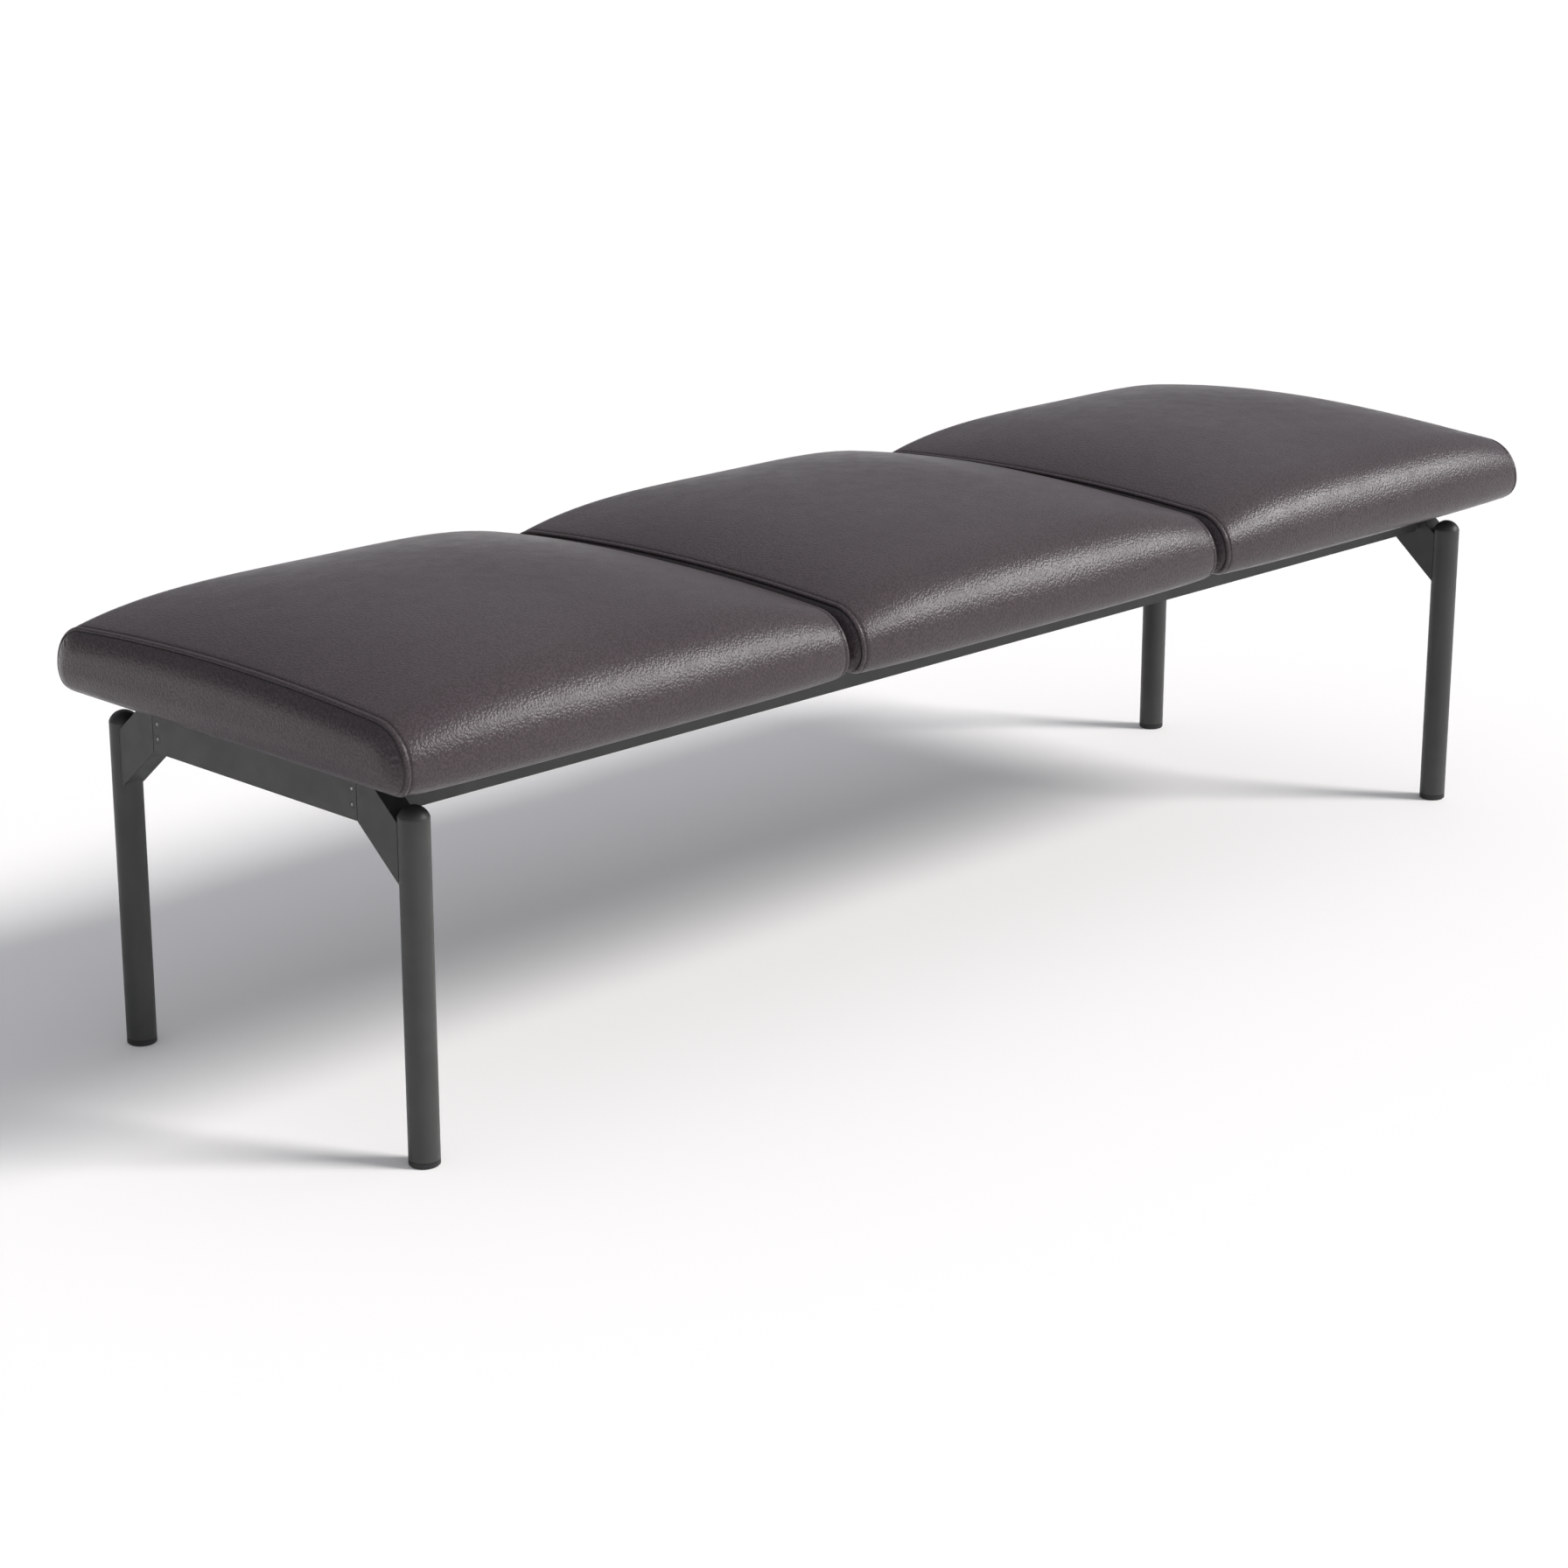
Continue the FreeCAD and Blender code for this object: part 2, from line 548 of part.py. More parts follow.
def cushion_section(x, share, inset, draw=0.0):
    """Closed outline across the seat: flat base, round edges below and above, and a crowned top.

    share is 0 at the middle of the seat and 1 at its seam. inset draws the outline in all round, and
    draw only its sides and top.
    """
    swell = 1 - abs(share) ** CROWN_POWER
    upright = math.radians(90)
    widest = value(f"{RAIL_TOP} + lower_radius")
    low = value("lower_radius") - inset
    half = value("seat_depth") / 2 + value("seat_swell") * swell - inset - draw
    rise = value("seam_height") + value("crown_height - seam_height") * swell
    crown = value(RAIL_TOP) + rise - inset - draw
    radius = value("shoulder_radius") + value("shoulder_swell") * swell - inset - draw
    flat = half - radius
    lean = 2 * math.atan((crown - widest - radius) / flat)

    def shoulder(side, angle):
        return Vector(x, side * (flat + radius * math.sin(angle)), widest + radius * math.cos(angle))

    def lower(side, angle):
        return Vector(x, side * (half - low + low * math.cos(angle)), widest - low * math.sin(angle))

    def shoulder_arc(side):
        return arc(shoulder(side, upright), shoulder(side, (upright + lean) / 2), shoulder(side, lean))

    def lower_arc(side):
        return arc(lower(side, upright), lower(side, upright / 2), lower(side, 0))

    return Part.Wire([
        Part.makeLine(lower(1, upright), lower(-1, upright)),
        lower_arc(-1),
        shoulder_arc(-1),
        arc(shoulder(-1, lean), Vector(x, 0, crown), shoulder(1, lean)),
        shoulder_arc(1),
        lower_arc(1),
    ])


def loft(wires):
    """Smooth closed solid through a row of outlines."""
    return Part.makeLoft(wires, True, False)


def seat_body(inset):
    """Crowned body of the seat from seam to seam, with the band beside each seam standing proud of it."""
    half = value("seat_length") / 2
    band = 1 - value("seam_band") / half
    inner = CROWN_STATIONS + [band]
    shares = [-share for share in reversed(inner)] + [0.0] + inner
    drawn = value("seam_draw")
    wires = [cushion_section(share * half, share, inset) for share in shares]
    wires.insert(0, cushion_section(-half, 1, inset, drawn))
    wires.append(cushion_section(half, 1, inset, drawn))
    return loft(wires)


def end_dish(side, inset):
    """Swollen end of the seat beyond its seam, with a rounded rim."""
    seam = value("seat_length") / 2
    wires = []
    for turn in RIM_TURNS:
        reach = value("end_swell") * math.sin(math.radians(turn))
        rim = value("end_round") * (1 - math.cos(math.radians(turn)))
        wires.append(cushion_section(side * (seam + reach), 1, inset + rim, value("seam_draw")))
    return loft(wires if side > 0 else wires[::-1])


def opening():
    """Block through the underside of the seat, where the leather ends."""
    length = value(OPENING_LENGTH)
    depth = value(OPENING_DEPTH)
    height = 2 * value("leather")
    foot = value(f"{RAIL_TOP} - leather / 2")
    return Part.makeBox(length, depth, height, Vector(-length / 2, -depth / 2, foot))


def seat_shapes():
    """Leather wrap, pair of end panels and foam core of a seat at the middle of the bench."""
    leather = value("leather")
    wrap = seat_body(0).cut([seat_body(leather), opening()])
    panels = []
    for side in SIDES.values():
        lining = end_dish(side, leather)
        lining.translate(Vector(-side * leather, 0, 0))
        panels.append(end_dish(side, 0).cut(lining))
    length = value(f"{BOARD_LENGTH} + 2 * fit_gap")
    depth = value(f"{BOARD_DEPTH} + 2 * fit_gap")
    board_room = Part.makeBox(length, depth, value("board_thickness + leather"),
                              Vector(-length / 2, -depth / 2, value(RAIL_TOP)))
    foam = seat_body(leather + value("foam_gap")).cut(board_room)
    return {"seat_cover": wrap, "seat_end_panels": Part.makeCompound(panels), "seat_foam": foam}


def make_soft(label, shape, x):
    """Soft piece with a shape of its own, placed along the bench."""
    item = doc.addObject("Part::Feature", label)
    item.Shape = shape
    item.Placement = Placement(Vector(x, 0, 0), Rotation())
    return node(item, label)


def make_tee_nut(name, x, y):
    """Tee nut pressed into the board from above."""
    top = f"{BOARD_FOOT} + board_thickness"
    flange = cylinder("flange_" + name, "tee_nut_flange", "tee_nut_flange_thickness",
                      (x, y, f"{top} - tee_nut_flange_thickness"))
    barrel = cylinder("barrel_" + name, "tee_nut_barrel", "tee_nut_length", (x, y, f"{top} - tee_nut_length"))
    bore = cylinder("nut_bore_" + name, "seat_screw_diameter + 2 * fit_gap", "tee_nut_length",
                    (x, y, f"{top} - tee_nut_length"))
    return cut("tee_nut_" + name, fuse("tee_nut_blank_" + name, [flange, barrel]), [bore])


def make_seat_screw(name, x, y):
    """Screw from inside the rail, through its top wall and the board, into the tee nut."""
    seat = f"({RAIL_TOP} - frame_wall)"
    head = cylinder("seat_head_" + name, "seat_screw_head", "seat_screw_head_height",
                    (x, y, f"{seat} - seat_screw_head_height"))
    shank = cylinder("seat_shank_" + name, "seat_screw_diameter", "frame_wall + leather + board_thickness",
                     (x, y, seat))
    return fuse("seat_screw_" + name, [head, shank])


def make_seat(name, place, soft):
    """One whole seat."""
    centre = f"{place} * {SEAT_PITCH}"
    for label, shape in soft.items():
        make_soft(f"{label}_{name}", shape, value(centre))
    board = plate("seat_board_" + name, (BOARD_LENGTH, BOARD_DEPTH, "board_thickness"), "board_corner",
                  [(u, v, "tee_nut_barrel + 2 * fit_gap") for u, v in SEAT_FIXINGS],
                  [(u, v, "tee_nut_flange + 2 * fit_gap") for u, v in SEAT_FIXINGS],
                  "tee_nut_flange_thickness")
    node(bind_place(board, centre, "0", BOARD_FOOT), "seat_board_" + name)
    dust = plate("seat_dust_cover_" + name,
                 (f"({OPENING_LENGTH} - 2 * fit_gap)", f"({OPENING_DEPTH} - 2 * fit_gap)", "leather"), "",
                 [(u, v, SEAT_SCREW_BORE) for u, v in SEAT_FIXINGS])
    node(bind_place(dust, centre, "0", RAIL_TOP), "seat_dust_cover_" + name)
    fixings = [(f"{name}_{index}", f"{centre} + {u}", v) for index, (u, v) in enumerate(SEAT_FIXINGS)]
    nuts = [make_tee_nut(*fixing) for fixing in fixings]
    screws = [make_seat_screw(*fixing) for fixing in fixings]
    node(group("seat_tee_nuts_" + name, nuts), "seat_tee_nuts_" + name)
    node(group("seat_screws_" + name, screws), "seat_screws_" + name)


def check(item):
    """Stop at a sub-part that is not a valid solid."""
    if item.Shape.isNull() or not item.Shape.isValid() or not item.Shape.Solids:
        raise RuntimeError(f"{item.Label} is not a valid solid")


for leg_name, leg_signs in LEGS.items():
    leg_x, leg_y = leg_axis(leg_signs)
    make_leg_tube(leg_name, leg_x, leg_y)
    make_leg_cap(leg_name, leg_x, leg_y)
    make_leg_insert(leg_name, leg_x, leg_y)
    make_glide(leg_name, leg_x, leg_y)
    make_bracket(leg_name, leg_signs, leg_x, leg_y)
for end_name, end_side in SIDES.items():
    make_end_frame(end_name, end_side)
for rail_name, rail_sign in LONG_RAILS.items():
    make_long_rail(rail_name, rail_sign)
soft_shapes = seat_shapes()
for seat_name, seat_place in SEATS.items():
    make_seat(seat_name, seat_place, soft_shapes)

doc.recompute()
for item in doc.Objects:
    if "Invalid" in item.State or "Error" in item.State:
        raise RuntimeError(f"{item.Label} did not compute")
os.makedirs("parts", exist_ok=True)
for item in nodes:
    check(item)
    item.Shape.exportStep(f"parts/{item.Label}.step")
print(len(nodes), "sub-parts written")
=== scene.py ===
"""Looks of a waiting room bench: three leather seats in a row on a dark tubular steel frame."""
import json
import logging
import math
from dataclasses import dataclass, field
from enum import Enum
from typing import ClassVar

import bpy
import numpy as np
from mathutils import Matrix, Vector


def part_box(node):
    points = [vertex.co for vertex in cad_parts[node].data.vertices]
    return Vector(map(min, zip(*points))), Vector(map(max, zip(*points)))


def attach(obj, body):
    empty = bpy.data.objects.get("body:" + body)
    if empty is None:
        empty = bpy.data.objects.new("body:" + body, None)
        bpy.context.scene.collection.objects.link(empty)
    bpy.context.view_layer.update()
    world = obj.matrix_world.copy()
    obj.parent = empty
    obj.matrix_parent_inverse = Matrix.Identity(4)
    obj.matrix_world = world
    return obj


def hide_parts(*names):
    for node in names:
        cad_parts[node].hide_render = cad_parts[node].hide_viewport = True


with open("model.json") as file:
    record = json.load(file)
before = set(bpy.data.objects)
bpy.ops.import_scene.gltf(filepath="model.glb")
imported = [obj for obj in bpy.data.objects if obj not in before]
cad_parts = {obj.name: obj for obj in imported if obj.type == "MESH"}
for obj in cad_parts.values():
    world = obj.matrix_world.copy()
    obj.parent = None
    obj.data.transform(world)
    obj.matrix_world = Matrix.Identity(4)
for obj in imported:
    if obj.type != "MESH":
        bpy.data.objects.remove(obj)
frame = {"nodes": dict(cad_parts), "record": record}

LOG = logging.getLogger("bench")
FRAME_BODY = "bench_frame"
MID_NOISE = (0.3, 0.7)
Colour = tuple[float, float, float]


class SeatPlace(Enum):
    """The three seats, named as seen from the front."""

    LEFT = "left"
    CENTRE = "centre"
    RIGHT = "right"


class SeatEnd(Enum):
    """The two sewn ends of a seat, by the sign of X."""

    LEFT = -1
    RIGHT = 1


class NodeSheet:
    """A material's node tree, with short calls that add and join nodes."""

    def __init__(self, name: str) -> None:
        """Start a material with its main shader and its Object coordinates.

        Args:
            name: The material's name.
        """
        self.material = bpy.data.materials.new(name)
        self.material.use_nodes = True
        self.tree = self.material.node_tree
        self.shader = self.tree.nodes["Principled BSDF"]
        self.place = self.add("ShaderNodeTexCoord").outputs["Object"]

    def add(self, kind: str, inputs: dict | None = None, **settings: object) -> bpy.types.Node:
        """Add one node.

        Args:
            kind: The node's type name.
            inputs: Socket names or places, with a value or another node's output for each.
            settings: The node's own properties.

        Returns:
            The new node.
        """
        node = self.tree.nodes.new(kind)
        for key, setting in settings.items():
            setattr(node, key, setting)
        for key, source in (inputs or {}).items():
            self.feed(node, key, source)
        return node

    def feed(self, node: bpy.types.Node, key: str | int, source: object) -> None:
        """Set a socket's value, or link it to another node's output.

        Args:
            node: The node that takes the input.
            key: The socket's name or place.
            source: A plain value or an output socket.
        """
        socket = node.inputs[key]
        if isinstance(source, bpy.types.NodeSocket):
            self.tree.links.new(source, socket)
        else:
            socket.default_value = source

    def noise(self, scale: float, detail: float = 2.0,
              vector: bpy.types.NodeSocket | None = None) -> bpy.types.NodeSocket:
        """Add a noise texture of so many features to the metre, and return its value's output."""
        inputs = {"Vector": vector or self.place, "Scale": scale, "Detail": detail}
        return self.add("ShaderNodeTexNoise", inputs).outputs["Fac"]

    def maths(self, operation: str, first: object, second: object = 0.0) -> bpy.types.NodeSocket:
        """Join two values or outputs with one sum, such as MULTIPLY, and return its output."""
        return self.add("ShaderNodeMath", {0: first, 1: second}, operation=operation).outputs[0]

    def span(self, source: bpy.types.NodeSocket, low: float, high: float, start: float = 0.0,
             end: float = 1.0) -> bpy.types.NodeSocket:
        """Spread a value's range from start to end over low to high, held at both ends."""
        inputs = {"Value": source, "From Min": start, "From Max": end, "To Min": low, "To Max": high}
        return self.add("ShaderNodeMapRange", inputs).outputs["Result"]

    def blend(self, share: object, first: object, second: object) -> bpy.types.NodeSocket:
        """Mix two colours.

        Args:
            share: How much of the second colour, as a value or an output.
            first: The first colour, or an output.
            second: The second colour, or an output.

        Returns:
            The mixed colour's output.
        """
        rgba = [(*c, 1.0) if isinstance(c, tuple) else c for c in (first, second)]
        node = self.add("ShaderNodeMix", {0: share, 6: rgba[0], 7: rgba[1]}, data_type="RGBA")
        return node.outputs[2]

    def relief(self, height: bpy.types.NodeSocket, depth: float, strength: float = 1.0,
               normal: bpy.types.NodeSocket | None = None) -> bpy.types.NodeSocket:
        """Turn a height into a bumped normal.

        Args:
            height: The height's output, from 0 to 1.
            depth: Height of the relief in metres.
            strength: Share of the relief that shows.
            normal: A normal to build on.

        Returns:
            The normal's output.
        """
        node = self.add("ShaderNodeBump", {"Height": height, "Distance": depth, "Strength": strength})
        if normal:
            self.feed(node, "Normal", normal)
        return node.outputs["Normal"]

    def finish(self, **inputs: object) -> bpy.types.Material:
        """Feed the main shader and return the material.

        Args:
            inputs: The shader's socket names with _ for each space, and their values or outputs.

        Returns:
            The finished material.
        """
        for key, source in inputs.items():
            self.feed(self.shader, key.replace("_", " "), source)
        return self.material


@dataclass(frozen=True)
class PebbledLeather:
    """Aubergine grey leather with a pebbled grain that breaks its shine, and painted shade in its grain
    valleys and along its seams.
    """

    name: str = "seat_leather_pebbled"
    colour: Colour = (0.060, 0.0465, 0.052)
    # Colour of the painted shade in the grain's valleys.
    valley_shade_colour: Colour = (0.0375, 0.030, 0.033)
    worn_colour: Colour = (0.066, 0.0525, 0.057)
    # Colour of the painted shade in the seam groove and the stitched crease.
    seam_shade_colour: Colour = (0.010, 0.008, 0.009)
    pebble: float = 0.0022
    pebble_range: tuple[float, float] = (0.08, 0.62)
    depth: float = 0.00028
    depth_share: float = 0.8
    small_count: float = 2.3
    small_depth: float = 0.22
    wander_scale: float = 280.0
    wander_reach: float = 0.0011
    cloud_scale: float = 7.0
    cloud_range: tuple[float, float] = (0.38, 0.66)
    cloud_depth: float = 0.0010
    cloud_share: float = 0.15
    valley_share: float = 0.75
    valley_end: float = 0.55
    roughness: tuple[float, float] = (0.28, 0.35)
    patch_scale: float = 45.0
    shine: float = 0.36
    seam_attribute: ClassVar[str] = "seam_shade"

    def material(self) -> bpy.types.Material:
        """Build the leather's nodes.

        Returns:
            The material.
        """
        sheet = NodeSheet(self.name)
        wander = sheet.add("ShaderNodeTexNoise",
                           {"Vector": sheet.place, "Scale": self.wander_scale, "Detail": 1.0})
        drift = sheet.add("ShaderNodeVectorMath",
                          {0: wander.outputs["Color"], "Scale": self.wander_reach}, operation="SCALE")
        bent = sheet.add("ShaderNodeVectorMath",
                         {0: sheet.place, 1: drift.outputs[0]}, operation="ADD").outputs[0]
        cells = sheet.add("ShaderNodeTexVoronoi", {"Vector": bent, "Scale": 1.0 / self.pebble},
                          feature="SMOOTH_F1").outputs["Distance"]
        small = sheet.add("ShaderNodeTexVoronoi", {"Vector": bent, "Scale": self.small_count / self.pebble},
                          feature="F1").outputs["Distance"]
        pebbles = sheet.span(cells, 1.0, 0.0, *self.pebble_range)
        grain = sheet.maths("SUBTRACT", pebbles, sheet.maths("MULTIPLY", small, self.small_depth))
        clouds = sheet.noise(self.cloud_scale, 3.0)
        tone = sheet.blend(sheet.span(clouds, 0.0, 1.0, *self.cloud_range), self.colour, self.worn_colour)
        # Painted shade in the grain's valleys: the lower a point lies in the grain, the darker its colour.
        valley_shading = sheet.span(grain, self.valley_share, 0.0, 0.0, self.valley_end)
        grained = sheet.blend(valley_shading, tone, self.valley_shade_colour)
        # Painted shade along the seam groove and the stitched crease, read from a point attribute.
        seam = sheet.add("ShaderNodeAttribute", attribute_name=self.seam_attribute).outputs["Fac"]
        colour = sheet.blend(seam, grained, self.seam_shade_colour)
        roughness = sheet.span(sheet.noise(self.patch_scale, 2.0), *self.roughness, *MID_NOISE)
        soft = sheet.relief(clouds, self.cloud_depth, self.cloud_share)
        return sheet.finish(Base_Color=colour, Roughness=roughness, IOR=1.46, Specular_IOR_Level=self.shine,
                            Normal=sheet.relief(grain, self.depth, self.depth_share, soft))


@dataclass(frozen=True)
class SewingThread:
    """Dark twisted thread of the top stitching."""

    name: str = "seat_thread"
    colour: Colour = (0.020, 0.016, 0.018)
    light_colour: Colour = (0.040, 0.033, 0.036)
    twist: float = 0.0006
    depth: float = 0.0001
    depth_share: float = 0.6

    def material(self) -> bpy.types.Material:
        """Build the thread's nodes.

        Returns:
            The material.
        """
        sheet = NodeSheet(self.name)
        fibres = sheet.noise(1.0 / self.twist, 2.0)
        return sheet.finish(Base_Color=sheet.blend(fibres, self.colour, self.light_colour), Roughness=0.62,
                            Normal=sheet.relief(fibres, self.depth, self.depth_share))


@dataclass(frozen=True)
class PowderCoat:
    """Graphite powder coat, satin, with a fine orange peel."""

    name: str = "frame_powder_coat"
    colour: Colour = (0.038, 0.040, 0.038)
    light_colour: Colour = (0.046, 0.048, 0.046)
    speck_colour: Colour = (0.026, 0.027, 0.026)
    speck_scale: float = 2600.0
    speck_range: tuple[float, float] = (0.55, 0.75)
    speck_share: float = 0.35
    cloud_scale: float = 18.0
    cloud_range: tuple[float, float] = (0.35, 0.65)
    patch_scale: float = 60.0
    roughness: tuple[float, float] = (0.40, 0.50)
    shine: float = 0.42
    peel: float = 0.0016
    peel_depth: float = 0.00012
    peel_share: float = 0.5
    edge: float = 0.0009

    def material(self) -> bpy.types.Material:
        """Build the coat's nodes.

        Returns:
            The material.
        """
        sheet = NodeSheet(self.name)
        clouds = sheet.noise(self.cloud_scale, 3.0)
        specks = sheet.noise(self.speck_scale, 1.0)
        tone = sheet.blend(sheet.span(clouds, 0.0, 1.0, *self.cloud_range), self.colour, self.light_colour)
        dots = sheet.span(specks, 0.0, self.speck_share, *self.speck_range)
        colour = sheet.blend(dots, tone, self.speck_colour)
        peel = sheet.noise(1.0 / self.peel, 1.5)
        rounded = sheet.add("ShaderNodeBevel", {"Radius": self.edge}, samples=6).outputs["Normal"]
        roughness = sheet.span(sheet.noise(self.patch_scale, 2.0), *self.roughness, *MID_NOISE)
        return sheet.finish(Base_Color=colour, Roughness=roughness, IOR=1.5, Specular_IOR_Level=self.shine,
                            Normal=sheet.relief(peel, self.peel_depth, self.peel_share, rounded))


@dataclass(frozen=True)
class TurnedSteel:
    """Bare or plated steel of screws, studs and nuts, with fine turning marks."""

    name: str
    colour: Colour
    dull_colour: Colour
    roughness: float = 0.28
    dulling: float = 0.16
    stain_scale: float = 260.0
    mark_scale: float = 1800.0
    mark_depth: float = 0.00006
    mark_share: float = 0.5

    def material(self) -> bpy.types.Material:
        """Build the steel's nodes.

        Returns:
            The material.
        """
        sheet = NodeSheet(self.name)
        marks = sheet.noise(self.mark_scale, 2.0)
        stains = sheet.noise(self.stain_scale, 2.0)
        dull = self.roughness + self.dulling
        return sheet.finish(Base_Color=sheet.blend(stains, self.colour, self.dull_colour), Metallic=1.0,
                            Roughness=sheet.span(stains, self.roughness, dull, *MID_NOISE),
                            Normal=sheet.relief(marks, self.mark_depth, self.mark_share))


@dataclass(frozen=True)
class SocketScrew:
    """Blackened steel screw whose dark head also stands in for the shade round it, with a painted highlight
    in its hexagon socket.
    """

    face: float
    name: str = "frame_screw_steel"
    colour: Colour = (0.020, 0.020, 0.020)
    light_colour: Colour = (0.034, 0.034, 0.033)
    # Colour of the painted highlight in the socket.
    socket_highlight_colour: Colour = (0.93, 0.92, 0.90)
    rim: float = 0.0002
    roughness: tuple[float, float] = (0.30, 0.42)
    mark_scale: float = 1800.0
    mark_depth: float = 0.00006
    mark_share: float = 0.5

    def material(self) -> bpy.types.Material:
        """Build the screw's nodes.

        Returns:
            The material.
        """
        sheet = NodeSheet(self.name)
        marks = sheet.noise(self.mark_scale, 2.0)
        along = sheet.add("ShaderNodeSeparateXYZ", {0: sheet.place}).outputs["X"]
        # Painted highlight: points sunk below the head's face, the hexagon socket, are near white; the
        # near-black head face also stands in for the shade round the head.
        highlight_mask = sheet.maths("LESS_THAN", sheet.maths("ABSOLUTE", along), self.face - self.rim)
        black = sheet.blend(marks, self.colour, self.light_colour)
        return sheet.finish(Base_Color=sheet.blend(highlight_mask, black, self.socket_highlight_colour), Metallic=0.1,
                            Roughness=sheet.span(marks, *self.roughness, *MID_NOISE),
                            Normal=sheet.relief(marks, self.mark_depth, self.mark_share))


@dataclass(frozen=True)
class MouldedPlastic:
    """Dark moulded plastic with a faint spark-eroded texture."""

    name: str
    colour: Colour
    light_colour: Colour
    roughness: float = 0.5
    dulling: float = 0.1
    cloud_scale: float = 80.0
    texture_scale: float = 3200.0
    texture_depth: float = 0.00006
    texture_share: float = 0.4

    def material(self) -> bpy.types.Material:
        """Build the plastic's nodes.

        Returns:
            The material.
        """
        sheet = NodeSheet(self.name)
        texture = sheet.noise(self.texture_scale, 1.0)
        clouds = sheet.noise(self.cloud_scale, 2.0)
        dull = self.roughness + self.dulling
        return sheet.finish(Base_Color=sheet.blend(clouds, self.colour, self.light_colour),
                            Roughness=sheet.span(clouds, self.roughness, dull, *MID_NOISE),
                            Normal=sheet.relief(texture, self.texture_depth, self.texture_share))


@dataclass(frozen=True)
class BirchPlywood:
    """Birch plywood: long grain on the faces and plies that change tone with height."""

    name: str = "seat_plywood"
    colour: Colour = (0.56, 0.40, 0.24)
    dark_colour: Colour = (0.36, 0.23, 0.12)
    ply: float = 0.0024
    ply_share: float = 0.5
    grain_scale: float = 3.0
    grain_stretch: tuple[float, float, float] = (4.0, 90.0, 1.0)
    grain_range: tuple[float, float] = (0.35, 0.65)
    grain_share: float = 0.6
    grain_depth: float = 0.0002
    grain_relief: float = 0.5

    def material(self) -> bpy.types.Material:
        """Build the plywood's nodes.

        Returns:
            The material.
        """
        sheet = NodeSheet(self.name)
        long_grain = sheet.add("ShaderNodeMapping", {"Vector": sheet.place, "Scale": self.grain_stretch})
        fibres = sheet.noise(self.grain_scale, 4.0, long_grain.outputs[0])
        height = sheet.add("ShaderNodeSeparateXYZ", {0: sheet.place}).outputs["Z"]
        plies = sheet.maths("PINGPONG", height, self.ply)
        layers = sheet.span(plies, 0.0, self.ply_share, 0.0, self.ply)
        grain = sheet.span(fibres, 0.0, self.grain_share, *self.grain_range)
        share = sheet.maths("ADD", grain, layers)
        return sheet.finish(Base_Color=sheet.blend(share, self.colour, self.dark_colour), Roughness=0.68,
                            Normal=sheet.relief(fibres, self.grain_depth, self.grain_relief))


@dataclass(frozen=True)
class DustCloth:
    """Black non-woven cloth with an embossed dot grid and loose fibres."""

    name: str = "seat_dust_cloth"
    colour: Colour = (0.014, 0.014, 0.015)
    fibre_colour: Colour = (0.034, 0.034, 0.036)
    dot: float = 0.003
    dot_range: tuple[float, float] = (0.15, 0.35)
    fibre_scale: float = 900.0
    fibre_share: float = 0.4
    depth: float = 0.0002
    depth_share: float = 0.7

    def material(self) -> bpy.types.Material:
        """Build the cloth's nodes.

        Returns:
            The material.
        """
        sheet = NodeSheet(self.name)
        fibres = sheet.noise(self.fibre_scale, 4.0)
        dots = sheet.add("ShaderNodeTexVoronoi",
                         {"Vector": sheet.place, "Scale": 1.0 / self.dot, "Randomness": 0.0})
        pressed = sheet.span(dots.outputs["Distance"], 0.0, 1.0, *self.dot_range)
        height = sheet.maths("ADD", sheet.maths("MULTIPLY", fibres, self.fibre_share), pressed)
        return sheet.finish(Base_Color=sheet.blend(fibres, self.colour, self.fibre_colour), Roughness=0.9,
                            Normal=sheet.relief(height, self.depth, self.depth_share))


class Finishes:
    """One material for each slot of the bench, and the thread that only shows."""

    def __init__(self) -> None:
        """Build every material once."""
        self.thread = SewingThread().material()
        screw_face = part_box("end_rail_screws_right")[1].x
        self.by_slot = {
            "frame_coat": PowderCoat().material(),
            "screw_steel": SocketScrew(screw_face).material(),
            "zinc_steel": TurnedSteel("zinc_steel", (0.58, 0.60, 0.63), (0.44, 0.46, 0.48), 0.34).material(),
            "glide_plastic": MouldedPlastic(
                "glide_plastic", (0.011, 0.011, 0.012), (0.018, 0.018, 0.019)).material(),
            "insert_plastic": MouldedPlastic(
                "insert_plastic", (0.028, 0.028, 0.029), (0.040, 0.040, 0.041)).material(),
            "seat_leather": PebbledLeather().material(),
            "seat_plywood": BirchPlywood().material(),
            "dust_cloth": DustCloth().material(),
        }

    def dress_frame(self) -> None:
        """Give each CAD node that stays the material of its slot."""
        for row in frame["record"]["subparts"]:
            material = self.by_slot.get(row["material_slot"])
            node = frame["nodes"][row["node"]]
            if material is None:
                continue
            for slot in node.material_slots:
                slot.material = material
            LOG.info("dressed %s", row["node"])


def pick_only(piece: bpy.types.Object) -> None:
    """Select one object and nothing else, and make it the active one.

    Args:
        piece: The object to select.
    """
    bpy.ops.object.select_all(action="DESELECT")
    piece.select_set(True)
    bpy.context.view_layer.objects.active = piece


def points_of(piece: bpy.types.Object) -> np.ndarray:
    """Read a mesh's points.

    Args:
        piece: The mesh object.

    Returns:
        One row of X, Y and Z for each point.
    """
    flat = np.empty(3 * len(piece.data.vertices))
    piece.data.vertices.foreach_get("co", flat)
    return flat.reshape(-1, 3)


def move_points(piece: bpy.types.Object, points: np.ndarray) -> None:
    """Put a mesh's points where they belong, one row of X, Y and Z each."""
    piece.data.vertices.foreach_set("co", points.astype(np.float32).ravel())
    piece.data.update()


def ease(values: np.ndarray) -> np.ndarray:
    """Smooth step from 0 to 1, for shares that are held between the two."""
    held = np.clip(values, 0.0, 1.0)
    return held * held * (3.0 - 2.0 * held)


